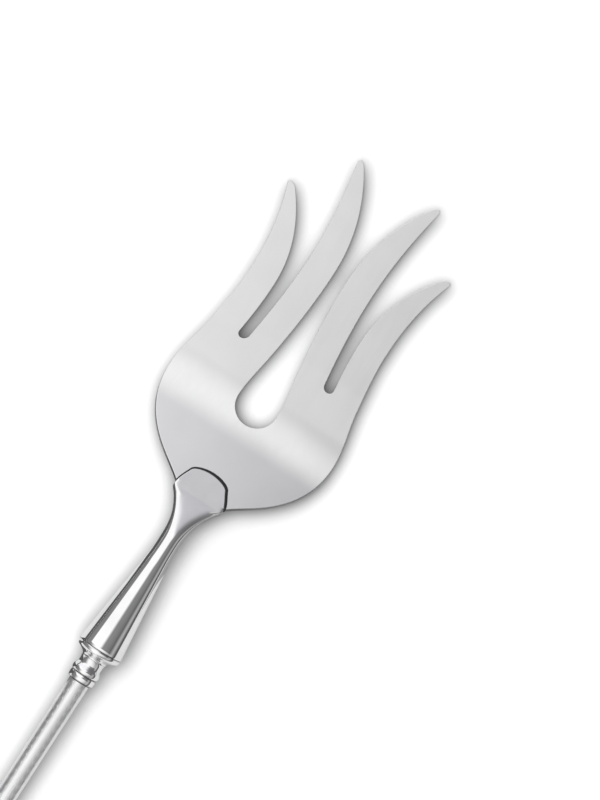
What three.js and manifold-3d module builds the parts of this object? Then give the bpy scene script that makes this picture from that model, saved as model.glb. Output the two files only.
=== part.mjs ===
// Cake fork with a hollow handle, lying face up on a table. Lengths are in millimetres.
// X runs across the fork, Y from the butt of the handle to the tips of the tines, Z up.
// The origin is on the table, under the middle of the fork's length.
// Reach is measured in plan from the shoulder line, where the head leaves its jaw, towards the tips.
// Station is measured along the handle's axis from the mouth of the neck sleeve towards the butt.
import * as THREE from "three";
import { mergeVertices } from "three/addons/utils/BufferGeometryUtils.js";
import Module from "manifold-3d";

// Solder and cement films, as one gap between pieces that are joined
const JOINT_GAP = 0.25;

// Head: plate
const PLATE_THICKNESS = 1.8;
const TIP_THICKNESS = 1.0;
const EDGE_ROUNDING = 0.35;
const THINNING_REACH = 45;

// Head: outer edge, each width across both sides
const ROOT_WIDTH = 14.9;
const ROOT_SLOPE = 1.2;
const SHOULDER_REACH = 5;
const SHOULDER_WIDTH = 29;
const SHOULDER_SLOPE = 1.38;
const PALM_REACH = 25;
const PALM_WIDTH = 50.9;
const FLANK_FULLNESS = 0.36;
const WAIST_REACH = 57;
const WAIST_WIDTH = 42.4;
const OUTER_TIP_REACH = 82.4;
const OUTER_TIP_WIDTH = 51.2;
const OUTER_TIP_FLARE = 0.4;

// Head: slots and inner tines
const SLOT_REACH = 40.7;
const SLOT_WIDTH = 2.9;
const SLOT_SPACING = 26.9;
const SLOT_LEAN = -0.145;
const OUTER_TINE_WIDTH = 7.6;
const OUTER_TIP_BLADE = 2;
const OUTER_BLADE_SWEEP = 0.85;
const INNER_TINE_SPAN = 19.5;
const INNER_TIP_REACH = 96.9;
const INNER_TIP_SPAN = 25.8;
const INNER_TIP_FLARE = 0.2;
const INNER_TIP_BLADE = 1.6;
const INNER_BLADE_SWEEP = 0.7;
const TEARDROP_REACH = 21.9;
const TEARDROP_WIDTH = 11.6;
const TEARDROP_FULLNESS = 0.57;
const TEARDROP_TAPER = -0.14;
const THROAT_REACH = 68;
const THROAT_WIDTH = 3.9;
const TIP_ROUNDING = 0.9;

// Head: tail that sits in the jaw
const TAIL_LENGTH = 6.5;
const TAIL_WIDTH = 9.6;
const TAIL_END_WIDTH = 3.6;
const TAIL_SHOULDER = 0.8;

// Bends of the whole fork, seen from the side
const PALM_TILT = THREE.MathUtils.degToRad(15);
const BEND_REACH = 32;
const BEND_RADIUS = 60;
const NECK_BEND_REACH = -8;
const NECK_BEND_RADIUS = 45;

// Neck sleeve
const SLEEVE_LENGTH = 48.3;
const SLEEVE_WALL = 0.8;
const MOUTH_DIAMETER = 12.6;
const CONE_REACH = -20;
const CONE_DIAMETER = 6.44;
const NECK_REACH = -14.4;
const NECK_DIAMETER = 5.9;
const JAW_FLARE = 3.7;
const JAW_WIDTH = 14.7;
const JAW_REACH = -1.2;
const JAW_SQUARENESS = 6;
const LIP_THICKNESS = 0.65;
const TONGUE_REACH = 6.8;
const TONGUE_CORNER_WIDTH = 11.3;
const TONGUE_CORNER_REACH = 5;
const TONGUE_CORNER_ROUNDING = 1.6;

// Shoulder ring
const RING_BAND = 0.55;
const RING_LENGTH = 3.2;
const RING_FOOT_DIAMETER = 8;
const RING_SPIGOT = 2;

// Turned collar
const COLLAR_LENGTH = 6.55;
const COLLAR_WAIST_DIAMETER = 7.4;
const COLLAR_BALL_DIAMETER = 8.3;
const COLLAR_GROOVE_DIAMETER = 7.3;
const COLLAR_BEAD_DIAMETER = 7.8;
const COLLAR_SPIGOT = 3;

// Tang
const TANG_DIAMETER = 2.4;
const TANG_IN_NECK = 32;
const TANG_IN_HANDLE = 50;
const TANG_NOTCH_DEPTH = 0.35;
const TANG_NOTCH_PITCH = 6;
const TANG_NOTCHES = 5;

// Handle
const HANDLE_LENGTH = 99.85;
const HANDLE_WALL = 0.6;
const SHAFT_WIDTH = 5.8;
const SHAFT_THICKNESS = 5.6;
const SHAFT_LENGTH = 40;
const GRIP_WIDTH = 15.2;
const GRIP_THICKNESS = 7.4;
const BUTT_ROUNDING = 9;

// Fineness of the facets
const RING_SIDES = 28;
const LATHE_SIDES = 32;
const HIDDEN_SIDES = 16;
const STRIP_COLUMNS = 2;

const wasm = await Module();
wasm.setup();

// Evenly spaced values from one end to the other, both included
function spread(from, to, steps) {
  return Array.from({ length: steps + 1 }, (_, i) => from + ((to - from) * i) / steps);
}

// Values spaced like points on a quarter circle, closest together at the first end
function spreadRound(from, to, steps) {
  const angle = (i) => (Math.PI / 2) * (i / steps);
  return Array.from({ length: steps + 1 }, (_, i) => from + (to - from) * (1 - Math.cos(angle(i))));
}

// Sorted values, each kept once
function sortedOnce(values, tolerance = 0.02) {
  const sorted = [...values].sort((a, b) => a - b);
  return sorted.filter((value, i) => i === 0 || value - sorted[i - 1] > tolerance);
}

// Smooth curve through knots [position, value, slope]; a slope that is left out follows the neighbours
function curveThrough(knots) {
  const slopeBetween = (a, b) => (b[1] - a[1]) / (b[0] - a[0]);
  const slopes = knots.map((knot, i) => {
    if (knot.length > 2) return knot[2];
    const before = knots[Math.max(i - 1, 0)];
    const after = knots[Math.min(i + 1, knots.length - 1)];
    return slopeBetween(before, after);
  });
  return (position) => {
    let i = 0;
    while (i < knots.length - 2 && position > knots[i + 1][0]) i += 1;
    const [start, end] = [knots[i], knots[i + 1]];
    const span = end[0] - start[0];
    const t = THREE.MathUtils.clamp((position - start[0]) / span, 0, 1);
    const rise = 3 * t * t - 2 * t * t * t;
    const leaving = (t * t * t - 2 * t * t + t) * span * slopes[i];
    const arriving = (t * t * t - t * t) * span * slopes[i + 1];
    return start[1] * (1 - rise) + end[1] * rise + leaving + arriving;
  };
}

// Height of a quarter circle of unit radius, for round ends: 0 at the end, 1 a full rounding away
function roundEnd(distance, rounding) {
  const t = THREE.MathUtils.clamp(distance / rounding, 0, 1);
  return Math.sqrt(1 - (1 - t) * (1 - t));
}

// Closed solids
function bareGeometry(positions, index) {
  const geometry = new THREE.BufferGeometry();
  geometry.setAttribute("position", new THREE.Float32BufferAttribute(positions, 3));
  if (index) geometry.setIndex(Array.from(index));
  return geometry;
}

// Joins equal corners and drops the faces that have lost their area by it
function sealed(geometry) {
  const bare = bareGeometry(geometry.attributes.position.array, geometry.index?.array);
  const merged = mergeVertices(bare, 1e-4);
  const corners = merged.index.array;
  const kept = [];
  for (let i = 0; i < corners.length; i += 3) {
    const [a, b, c] = corners.slice(i, i + 3);
    if (a !== b && b !== c && c !== a) kept.push(a, b, c);
  }
  merged.setIndex(kept);
  return merged;
}

function toSolid(geometry) {
  const closed = sealed(geometry);
  const vertProperties = new Float32Array(closed.attributes.position.array);
  const triVerts = new Uint32Array(closed.index.array);
  return new wasm.Manifold(new wasm.Mesh({ numProp: 3, vertProperties, triVerts }));
}

function toGeometry(solid) {
  const mesh = solid.getMesh();
  return bareGeometry(mesh.vertProperties, mesh.triVerts);
}

// Faces between rings of equal point count, closed by a fan over each end
function loft(rings) {
  const sides = rings[0].length;
  const positions = rings.flat().flatMap((point) => point.toArray());
  const index = [];
  for (let row = 0; row < rings.length - 1; row += 1) {
    for (let i = 0; i < sides; i += 1) {
      const a = row * sides + i;
      const b = row * sides + ((i + 1) % sides);
      index.push(a, b, b + sides, a, b + sides, a + sides);
    }
  }
  const closeEnd = (row, facesOn) => {
    const centre = rings[row].reduce((sum, p) => sum.add(p), new THREE.Vector3());
    positions.push(...centre.divideScalar(sides).toArray());
    const hub = positions.length / 3 - 1;
    for (let i = 0; i < sides; i += 1) {
      const a = row * sides + i;
      const b = row * sides + ((i + 1) % sides);
      index.push(hub, ...(facesOn ? [a, b] : [b, a]));
    }
  };
  closeEnd(0, false);
  closeEnd(rings.length - 1, true);
  return bareGeometry(positions, index);
}

// Round, oval or squared-off section; squareness 2 is an ellipse
function sectionPoints(halfWidth, halfHeight, squareness, sides = RING_SIDES) {
  const bulge = (value) => Math.sign(value) * Math.abs(value) ** (2 / squareness);
  return Array.from({ length: sides }, (_, i) => {
    const angle = (2 * Math.PI * i) / sides;
    return new THREE.Vector2(halfWidth * bulge(Math.cos(angle)), halfHeight * bulge(Math.sin(angle)));
  });
}

// Solid of revolution about the handle's axis; the outline holds [radius, station] pairs
function turned(outline, sides = LATHE_SIDES) {
  const points = outline.map(([radius, station]) => new THREE.Vector2(radius, -station));
  return new THREE.LatheGeometry(points, sides);
}

function rod(diameter, fromStation, toStation) {
  const radius = diameter / 2;
  const outline = [[0, toStation], [radius, toStation], [radius, fromStation], [0, fromStation]];
  return turned(outline, HIDDEN_SIDES);
}

// Side view of the fork: a flat tine zone, the bend in the palm, a sloping root, the bend in the neck
// and a straight handle. Each spot has a height and a tilt, which is positive where the fork rises
// towards the handle.
function spineAt(reach, handleTilt) {
  const flatHeight = PLATE_THICKNESS / 2;
  const slopeReach = BEND_REACH - BEND_RADIUS * Math.sin(PALM_TILT);
  const slopeHeight = flatHeight + BEND_RADIUS * (1 - Math.cos(PALM_TILT));
  const neckHeight = slopeHeight + (slopeReach - NECK_BEND_REACH) * Math.tan(PALM_TILT);
  const neckSine = Math.sin(PALM_TILT) - (NECK_BEND_REACH - reach) / NECK_BEND_RADIUS;
  const axisReach = NECK_BEND_REACH - NECK_BEND_RADIUS * (Math.sin(PALM_TILT) + Math.sin(handleTilt));
  const axisHeight = neckHeight + NECK_BEND_RADIUS * (Math.cos(handleTilt) - Math.cos(PALM_TILT));
  if (reach >= BEND_REACH) return { height: flatHeight, tilt: 0 };
  if (reach >= slopeReach) {
    const tilt = Math.asin((BEND_REACH - reach) / BEND_RADIUS);
    return { height: flatHeight + BEND_RADIUS * (1 - Math.cos(tilt)), tilt };
  }
  if (reach >= NECK_BEND_REACH) {
    return { height: slopeHeight + (slopeReach - reach) * Math.tan(PALM_TILT), tilt: PALM_TILT };
  }
  if (reach >= axisReach) {
    const tilt = Math.asin(neckSine);
    return { height: neckHeight + NECK_BEND_RADIUS * (Math.cos(tilt) - Math.cos(PALM_TILT)), tilt };
  }
  return { height: axisHeight - (axisReach - reach) * Math.tan(handleTilt), tilt: -handleTilt };
}

// Handle sections
const COLLAR_STATION = RING_LENGTH + JOINT_GAP;
const HANDLE_STATION = COLLAR_STATION + COLLAR_LENGTH + JOINT_GAP;
const BUTT_STATION = HANDLE_STATION + HANDLE_LENGTH;
const SHAFT_STATION = HANDLE_STATION + SHAFT_LENGTH;
const GRIP_STATION = BUTT_STATION - BUTT_ROUNDING;

const handleHalfWidth = curveThrough([
  [HANDLE_STATION, SHAFT_WIDTH / 2, 0],
  [SHAFT_STATION, SHAFT_WIDTH / 2, 0],
  [GRIP_STATION, GRIP_WIDTH / 2, 0],
  [BUTT_STATION, GRIP_WIDTH / 2, 0],
]);
const handleHalfThickness = curveThrough([
  [HANDLE_STATION, SHAFT_THICKNESS / 2, 0],
  [SHAFT_STATION, SHAFT_THICKNESS / 2, 0],
  [GRIP_STATION, GRIP_THICKNESS / 2, 0],
  [BUTT_STATION, GRIP_THICKNESS / 2, 0],
]);

// The handle leans so that its butt comes down to the table
function restingTilt() {
  const clearance = (tilt) => {
    const axis = spineAt(-SLEEVE_LENGTH, tilt).height - GRIP_STATION * Math.sin(tilt);
    return axis - (GRIP_THICKNESS / 2) * Math.cos(tilt);
  };
  let [low, high] = [0, PALM_TILT];
  while (high - low > 1e-7) {
    const middle = (low + high) / 2;
    if (clearance(middle) > 0) low = middle;
    else high = middle;
  }
  return low;
}

const HANDLE_TILT = restingTilt();
const spine = (reach) => spineAt(reach, HANDLE_TILT);
const BUTT_REACH = -SLEEVE_LENGTH - BUTT_STATION * Math.cos(HANDLE_TILT);

// Point beside the spine: x across, offset square to the fork's face
function besideSpine(reach, x, offset) {
  const { height, tilt } = spine(reach);
  return new THREE.Vector3(x, reach + offset * Math.sin(tilt), height + offset * Math.cos(tilt));
}

// Puts a shape that is drawn flat at the shoulder line onto the sloping root of the head
function ontoRoot(geometry) {
  const { height, tilt } = spine(0);
  geometry.scale(1, 1 / Math.cos(tilt), 1);
  geometry.rotateX(-tilt);
  return geometry.translate(0, 0, height);
}

// Edges of the right half of the head, as distances from the middle line
const between = (from, to, fraction) => THREE.MathUtils.lerp(from, to, fraction);
const tailTaper = (TAIL_WIDTH - TAIL_END_WIDTH) / 2 / TAIL_LENGTH;
const outerEdge = curveThrough([
  [-TAIL_LENGTH, TAIL_END_WIDTH / 2, tailTaper],
  [-TAIL_SHOULDER, TAIL_WIDTH / 2, tailTaper],
  [0, ROOT_WIDTH / 2, ROOT_SLOPE],
  [SHOULDER_REACH, SHOULDER_WIDTH / 2, SHOULDER_SLOPE],
  [PALM_REACH, PALM_WIDTH / 2, 0],
  [(PALM_REACH + WAIST_REACH) / 2, between(WAIST_WIDTH, PALM_WIDTH, FLANK_FULLNESS) / 2],
  [WAIST_REACH, WAIST_WIDTH / 2, 0],
  [OUTER_TIP_REACH, OUTER_TIP_WIDTH / 2, OUTER_TIP_FLARE],
]);
const slotOuterEdge = curveThrough([
  [SLOT_REACH, (SLOT_SPACING + SLOT_WIDTH) / 2, SLOT_LEAN],
  [WAIST_REACH, WAIST_WIDTH / 2 - OUTER_TINE_WIDTH, 0],
  [OUTER_TIP_REACH, OUTER_TIP_WIDTH / 2 - OUTER_TIP_BLADE, OUTER_BLADE_SWEEP],
]);
const slotInnerEdge = curveThrough([
  [SLOT_REACH, (SLOT_SPACING - SLOT_WIDTH) / 2, SLOT_LEAN],
  [THROAT_REACH, INNER_TINE_SPAN / 2, 0],
  [INNER_TIP_REACH, INNER_TIP_SPAN / 2, INNER_TIP_FLARE],
]);
const teardropCentre = TEARDROP_REACH + TEARDROP_WIDTH / 2;
const innerEdge = curveThrough([
  [teardropCentre, TEARDROP_WIDTH / 2, 0],
  [SLOT_REACH, between(THROAT_WIDTH, TEARDROP_WIDTH, TEARDROP_FULLNESS) / 2, TEARDROP_TAPER],
  [THROAT_REACH, THROAT_WIDTH / 2, 0],
  [INNER_TIP_REACH, INNER_TIP_SPAN / 2 - INNER_TIP_BLADE, INNER_BLADE_SWEEP],
]);

// The two strips of the right half at one reach: the inner tine with the palm below it, and the outer
function headStrips(reach) {
  const belowSlot = Math.min(outerEdge(reach) / outerEdge(SLOT_REACH), 1);
  const slotMiddle = reach < SLOT_REACH
    ? belowSlot * SLOT_SPACING / 2
    : (slotInnerEdge(reach) + slotOuterEdge(reach)) / 2;
  const slotHalf = (slotOuterEdge(reach) - slotInnerEdge(reach)) / 2;
  const slotOpen = slotHalf * roundEnd(reach - SLOT_REACH, SLOT_WIDTH / 2);
  const teardropOpen = innerEdge(reach) * roundEnd(reach - TEARDROP_REACH, TEARDROP_WIDTH / 2);
  const rounded = (low, high, tipReach) => {
    const middle = (low + high) / 2;
    const half = ((high - low) / 2) * roundEnd(tipReach - reach, TIP_ROUNDING);
    return [middle - half, middle + half];
  };
  return {
    inner: rounded(teardropOpen, slotMiddle - slotOpen, INNER_TIP_REACH),
    outer: rounded(slotMiddle + slotOpen, outerEdge(reach), OUTER_TIP_REACH),
  };
}

// Stamped plate: strips of faces along the tines, walled where an edge is free, joined where it isn't
function headGeometry() {
  const slopeReach = BEND_REACH - BEND_RADIUS * Math.sin(PALM_TILT);
  const rows = sortedOnce([
    ...spread(-TAIL_LENGTH, -TAIL_SHOULDER, 1),
    ...spread(0, slopeReach, 7),
    ...spread(slopeReach, BEND_REACH, 7),
    ...spreadRound(TEARDROP_REACH, teardropCentre, 6),
    ...spread(BEND_REACH, SLOT_REACH, 2),
    ...spreadRound(SLOT_REACH, SLOT_REACH + SLOT_WIDTH / 2, 4),
    ...spread(SLOT_REACH + SLOT_WIDTH / 2, OUTER_TIP_REACH - TIP_ROUNDING, 13),
    ...spreadRound(OUTER_TIP_REACH, OUTER_TIP_REACH - TIP_ROUNDING, 4),
    ...spread(OUTER_TIP_REACH, INNER_TIP_REACH - TIP_ROUNDING, 5),
    ...spreadRound(INNER_TIP_REACH, INNER_TIP_REACH - TIP_ROUNDING, 4),
  ]);
  const positions = [];
  const face = (corners, side) => {
    const order = side > 0 ? corners : [...corners].reverse();
    const [a, b, c, d] = order;
    for (const point of [a, b, c, a, c, d]) positions.push(...point.toArray());
  };
  // Section of one strip: top from low to high edge, down, bottom back again, up
  const section = (reach, side, [low, high], lowFree, highFree) => {
    const thinning = (PLATE_THICKNESS - TIP_THICKNESS) / (INNER_TIP_REACH - THINNING_REACH);
    const top = PLATE_THICKNESS / 2 - Math.max(reach - THINNING_REACH, 0) * thinning;
    const bottom = -PLATE_THICKNESS / 2;
    const inset = Math.min(EDGE_ROUNDING, 0.35 * (high - low));
    const from = low + (lowFree ? inset : 0);
    const to = high - (highFree ? inset : 0);
    const at = (x, offset) => besideSpine(reach, side * x, offset);
    const across = spread(from, to, STRIP_COLUMNS);
    return [
      ...across.map((x) => at(x, top)),
      at(high, top - EDGE_ROUNDING),
      at(high, bottom + EDGE_ROUNDING),
      ...across.reverse().map((x) => at(x, bottom)),
      at(low, bottom + EDGE_ROUNDING),
      at(low, top - EDGE_ROUNDING),
    ];
  };
  const addStrip = (side, pick, tipReach, lowFreeFrom, highFreeFrom) => {
    const ringAt = (reach) => {
      const edges = pick(headStrips(reach));
      return section(reach, side, edges, reach > lowFreeFrom, reach > highFreeFrom);
    };
    const count = STRIP_COLUMNS + 1;
    const own = rows.filter((reach) => reach <= tipReach);
    for (let row = 0; row < own.length - 1; row += 1) {
      const [here, next] = [ringAt(own[row]), ringAt(own[row + 1])];
      const highWall = own[row] >= highFreeFrom;
      const lowWall = own[row] >= lowFreeFrom;
      here.forEach((_, i) => {
        const onHighWall = i >= count - 1 && i < count + 2;
        const onLowWall = i >= 2 * count + 1;
        if ((onHighWall && !highWall) || (onLowWall && !lowWall)) return;
        const j = (i + 1) % here.length;
        face([here[i], here[j], next[j], next[i]], side);
      });
    }
    const end = ringAt(own[0]);
    for (let i = 0; i < count - 1; i += 1) {
      const below = 2 * count + 1 - i;
      face([end[i], end[below], end[below - 1], end[i + 1]], side);
    }
    if (own[0] >= highFreeFrom) face([end[count - 1], end[count + 2], end[count + 1], end[count]], side);
  };
  for (const side of [1, -1]) {
    addStrip(side, (strips) => strips.inner, INNER_TIP_REACH, TEARDROP_REACH, SLOT_REACH);
    addStrip(side, (strips) => strips.outer, OUTER_TIP_REACH, SLOT_REACH, -Infinity);
  }
  return sealed(bareGeometry(positions));
}

// Sleeve: round cone behind the neck, pressed flat in front of it into a jaw with a tongue-shaped lip
const coneTaper = (CONE_DIAMETER - MOUTH_DIAMETER) / 2 / (CONE_REACH + SLEEVE_LENGTH);
const coneHalfWidth = curveThrough([
  [-SLEEVE_LENGTH, MOUTH_DIAMETER / 2, coneTaper],
  [CONE_REACH, CONE_DIAMETER / 2, coneTaper],
  [NECK_REACH, NECK_DIAMETER / 2, 0],
]);

function sleeveHalfWidth(reach) {
  const towardsJaw = THREE.MathUtils.clamp((reach - NECK_REACH) / (JAW_REACH - NECK_REACH), 0, 1);
  return coneHalfWidth(reach) + ((JAW_WIDTH - NECK_DIAMETER) / 2) * towardsJaw ** JAW_FLARE;
}

const jawHalfHeight = PLATE_THICKNESS / 2 + JOINT_GAP + LIP_THICKNESS;

function sleeveRing(reach) {
  const pressed = THREE.MathUtils.smoothstep(reach, NECK_REACH, JAW_REACH);
  const halfHeight = between(coneHalfWidth(reach), jawHalfHeight, pressed);
  const squareness = between(2, JAW_SQUARENESS, pressed);
  const section = sectionPoints(sleeveHalfWidth(reach), halfHeight, squareness);
  return section.map((point) => besideSpine(reach, point.x, point.y));
}

// Outline of the lips in plan: the arched tongue, and plenty of room beyond the jaw
function lipShape() {
  const room = MOUTH_DIAMETER;
  const jaw = JAW_WIDTH / 2;
  const corner = TONGUE_CORNER_WIDTH / 2;
  const round = TONGUE_CORNER_ROUNDING;
  const low = TONGUE_CORNER_REACH - round;
  const high = TONGUE_CORNER_REACH + round / 2;
  const points = (side) => ({
    jaw: [side * jaw, JAW_REACH],
    beside: [side * jaw, 0],
    below: [side * (corner + round / 2), low],
    corner: [side * corner, TONGUE_CORNER_REACH],
    above: [side * (corner - round / 4), high],
    towardsTop: [side * corner / 2, TONGUE_REACH],
  });
  const [right, left] = [points(1), points(-1)];
  const shape = new THREE.Shape();
  shape.moveTo(room, -SLEEVE_LENGTH - room);
  shape.lineTo(room, JAW_REACH);
  shape.lineTo(...right.jaw);
  shape.bezierCurveTo(...right.beside, ...right.below, ...right.corner);
  shape.bezierCurveTo(...right.above, ...right.towardsTop, 0, TONGUE_REACH);
  shape.bezierCurveTo(...left.towardsTop, ...left.above, ...left.corner);
  shape.bezierCurveTo(...left.below, ...left.beside, ...left.jaw);
  shape.lineTo(-room, JAW_REACH);
  shape.lineTo(-room, -SLEEVE_LENGTH - room);
  return shape;
}

// Room in the jaw for the plate and its tail
function jawSlot() {
  const side = ROOT_WIDTH / 2 + 1;
  const tail = TAIL_WIDTH / 2 + JOINT_GAP;
  const tailEnd = TAIL_END_WIDTH / 2 + JOINT_GAP;
  const shape = new THREE.Shape();
  shape.moveTo(side, TONGUE_REACH + 2);
  shape.lineTo(-side, TONGUE_REACH + 2);
  shape.lineTo(-side, -JOINT_GAP);
  shape.lineTo(-tail, -TAIL_SHOULDER - JOINT_GAP);
  shape.lineTo(-tailEnd, -TAIL_LENGTH - JOINT_GAP);
  shape.lineTo(tailEnd, -TAIL_LENGTH - JOINT_GAP);
  shape.lineTo(tail, -TAIL_SHOULDER - JOINT_GAP);
  shape.lineTo(side, -JOINT_GAP);
  const depth = PLATE_THICKNESS + 2 * JOINT_GAP;
  const slot = new THREE.ExtrudeGeometry(shape, { depth, bevelEnabled: false });
  return ontoRoot(slot.translate(0, 0, -depth / 2));
}

// Moves a shape made along the handle's axis to its place behind the neck
function ontoAxis(geometry) {
  geometry.rotateX(HANDLE_TILT);
  return geometry.translate(0, -SLEEVE_LENGTH, spine(-SLEEVE_LENGTH).height);
}

const sleeveInnerRadius = (station) => sleeveHalfWidth(-SLEEVE_LENGTH - station) - SLEEVE_WALL;

function sleeveGeometry() {
  const reaches = sortedOnce([
    ...spread(-SLEEVE_LENGTH, CONE_REACH, 3),
    ...spread(CONE_REACH, NECK_REACH, 2),
    ...spread(NECK_REACH, JAW_REACH, 10),
    ...spread(JAW_REACH, TONGUE_REACH + 1, 1),
  ]);
  const blank = toSolid(loft(reaches.map(sleeveRing).reverse()));
  const height = 4 * MOUTH_DIAMETER;
  const cut = { depth: height, bevelEnabled: false, curveSegments: 10 };
  const outline = new THREE.ExtrudeGeometry(lipShape(), cut);
  const boreRadius = TANG_DIAMETER / 2 + JOINT_GAP;
  const boreStation = -TANG_IN_NECK - JOINT_GAP;
  const hollowStation = -SLEEVE_LENGTH / 2;
  const hollow = turned([
    [0, 1],
    [sleeveInnerRadius(0), 1],
    [sleeveInnerRadius(0), 0],
    [sleeveInnerRadius(hollowStation), hollowStation],
    [boreRadius, hollowStation - 1],
    [boreRadius, boreStation],
    [0, boreStation],
  ]);
  const solid = blank
    .intersect(toSolid(outline.translate(0, 0, -height / 2)))
    .subtract(toSolid(jawSlot()))
    .subtract(toSolid(ontoAxis(hollow)));
  return toGeometry(solid);
}

// Shoulder ring: spigot in the mouth of the sleeve, narrow band, long chamfer down to the collar
function ringGeometry() {
  const bore = TANG_DIAMETER / 2 + JOINT_GAP;
  const spigot = (station) => sleeveInnerRadius(station) - JOINT_GAP;
  const band = MOUTH_DIAMETER / 2;
  const foot = RING_FOOT_DIAMETER / 2;
  const path = new THREE.Path();
  path.moveTo(bore, -RING_SPIGOT);
  path.lineTo(spigot(-RING_SPIGOT), -RING_SPIGOT);
  path.lineTo(spigot(0), JOINT_GAP);
  path.lineTo(band, JOINT_GAP);
  path.lineTo(band, RING_BAND);
  path.quadraticCurveTo(between(foot, band, 0.67), between(RING_BAND, RING_LENGTH, 0.45), foot, RING_LENGTH);
  path.lineTo(bore, RING_LENGTH);
  path.closePath();
  const points = path.getPoints(5);
  return turned(points.map((point) => [point.x, point.y]).reverse());
}

// Turned collar: waist, ball, groove, bead, and a spigot in the mouth of the handle
function collarGeometry() {
  const bore = TANG_DIAMETER / 2 + JOINT_GAP;
  const waist = COLLAR_WAIST_DIAMETER / 2;
  const ball = COLLAR_BALL_DIAMETER / 2;
  const groove = COLLAR_GROOVE_DIAMETER / 2;
  const bead = COLLAR_BEAD_DIAMETER / 2;
  const spigot = SHAFT_THICKNESS / 2 - HANDLE_WALL - JOINT_GAP;
  const start = COLLAR_STATION;
  const end = start + COLLAR_LENGTH;
  const at = (fraction) => start + fraction * COLLAR_LENGTH;
  const path = new THREE.Path();
  path.moveTo(bore, start);
  path.lineTo(RING_FOOT_DIAMETER / 2, start);
  path.quadraticCurveTo(waist, at(0.08), waist, at(0.22));
  path.bezierCurveTo(waist, at(0.36), ball, at(0.38), ball, at(0.54));
  path.bezierCurveTo(ball, at(0.64), between(groove, ball, 0.3), at(0.67), groove, at(0.68));
  path.bezierCurveTo(bead, at(0.71), bead, at(0.96), groove, end);
  path.lineTo(spigot, end);
  path.lineTo(spigot, end + COLLAR_SPIGOT);
  path.lineTo(bore, end + COLLAR_SPIGOT);
  path.closePath();
  const points = path.getPoints(6);
  return turned(points.map((point) => [point.x, point.y]).reverse());
}

// Tang: plain rod with keying notches where the cement grips it
function tangGeometry() {
  const radius = TANG_DIAMETER / 2;
  const end = HANDLE_STATION + TANG_IN_HANDLE;
  const outline = [[0, -TANG_IN_NECK], [radius, -TANG_IN_NECK]];
  for (let i = TANG_NOTCHES; i > 0; i -= 1) {
    const middle = end - i * TANG_NOTCH_PITCH;
    outline.push([radius, middle - 2 * TANG_NOTCH_DEPTH]);
    outline.push([radius - TANG_NOTCH_DEPTH, middle]);
    outline.push([radius, middle + 2 * TANG_NOTCH_DEPTH]);
  }
  outline.push([radius, end - TANG_NOTCH_DEPTH], [radius - TANG_NOTCH_DEPTH, end], [0, end]);
  return turned(outline.reverse(), HIDDEN_SIDES);
}

// Oval solid along the handle, set in from the outside by a margin
function handleCore(margin, fromStation, sides = RING_SIDES) {
  const end = BUTT_STATION - margin;
  const stations = sortedOnce([
    fromStation,
    ...spread(SHAFT_STATION, end - BUTT_ROUNDING, 11),
    ...spreadRound(end, end - BUTT_ROUNDING, 6),
  ]);
  const rings = stations.map((station) => {
    const rounding = Math.max(roundEnd(end - station, BUTT_ROUNDING), 0.02);
    const halfWidth = (handleHalfWidth(station) - margin) * rounding;
    const halfThickness = (handleHalfThickness(station) - margin) * rounding;
    const section = sectionPoints(halfWidth, halfThickness, 2, sides);
    return section.map((point) => new THREE.Vector3(point.x, -station, point.y));
  });
  return loft(rings);
}

// One half of the hollow handle, above or below the seam along its sides
function shellGeometry(side) {
  const room = 2 * BUTT_STATION;
  const half = new THREE.BoxGeometry(room, 2 * room, room).translate(0, 0, side * (room + JOINT_GAP) / 2);
  const solid = toSolid(handleCore(0, HANDLE_STATION))
    .subtract(toSolid(handleCore(HANDLE_WALL, HANDLE_STATION - 1)))
    .intersect(toSolid(half));
  return toGeometry(solid);
}

// Cement core, with the room that the tang fills
function fillerGeometry() {
  const start = HANDLE_STATION + COLLAR_SPIGOT;
  const room = rod(TANG_DIAMETER + 2 * JOINT_GAP, start - 1, HANDLE_STATION + TANG_IN_HANDLE + JOINT_GAP);
  const core = toSolid(handleCore(HANDLE_WALL + JOINT_GAP, start, HIDDEN_SIDES));
  return toGeometry(core.subtract(toSolid(room)));
}

function piece(name, geometry, color, roughness, metalness) {
  const material = new THREE.MeshStandardMaterial({ color, roughness, metalness, flatShading: true });
  const mesh = new THREE.Mesh(geometry, material);
  mesh.name = name;
  return mesh;
}

const handle = new THREE.Group();
handle.add(
  piece("shoulder_ring", ringGeometry(), 0xd9dadc, 0.12, 1),
  piece("turned_collar", collarGeometry(), 0xd6d7d9, 0.1, 1),
  piece("tang_rod", tangGeometry(), 0x9a9c9f, 0.45, 1),
  piece("handle_front_shell", shellGeometry(1), 0xdcdddf, 0.1, 1),
  piece("handle_back_shell", shellGeometry(-1), 0xdcdddf, 0.1, 1),
  piece("handle_filler", fillerGeometry(), 0xb8ae9c, 0.9, 0),
);
handle.rotation.x = HANDLE_TILT;
handle.position.set(0, -SLEEVE_LENGTH, spine(-SLEEVE_LENGTH).height);

const fork = new THREE.Group();
fork.add(
  piece("fork_head", headGeometry(), 0xd3d4d6, 0.2, 1),
  piece("neck_sleeve", sleeveGeometry(), 0xd6d7da, 0.12, 1),
  handle,
);
fork.position.y = -(INNER_TIP_REACH + BUTT_REACH) / 2;

export default fork;
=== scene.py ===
"""Looks of the cake fork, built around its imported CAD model.

Lengths are in millimetres until a mesh is made, and Blender's own unit is the metre.
X runs across the fork, Y from the butt of the handle to the tips of the tines, Z up from the table.
Reach is measured in plan from the shoulder line, where the head leaves its jaw, towards the tips.
Station is measured along the handle's axis from the mouth of the neck sleeve towards the butt.
Pieces are drawn on a straightened fork, as (across, reach, height).
The spine then bends them into place.
"""

import logging
import math
from collections.abc import Callable
from dataclasses import dataclass, replace
from enum import Enum

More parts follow.
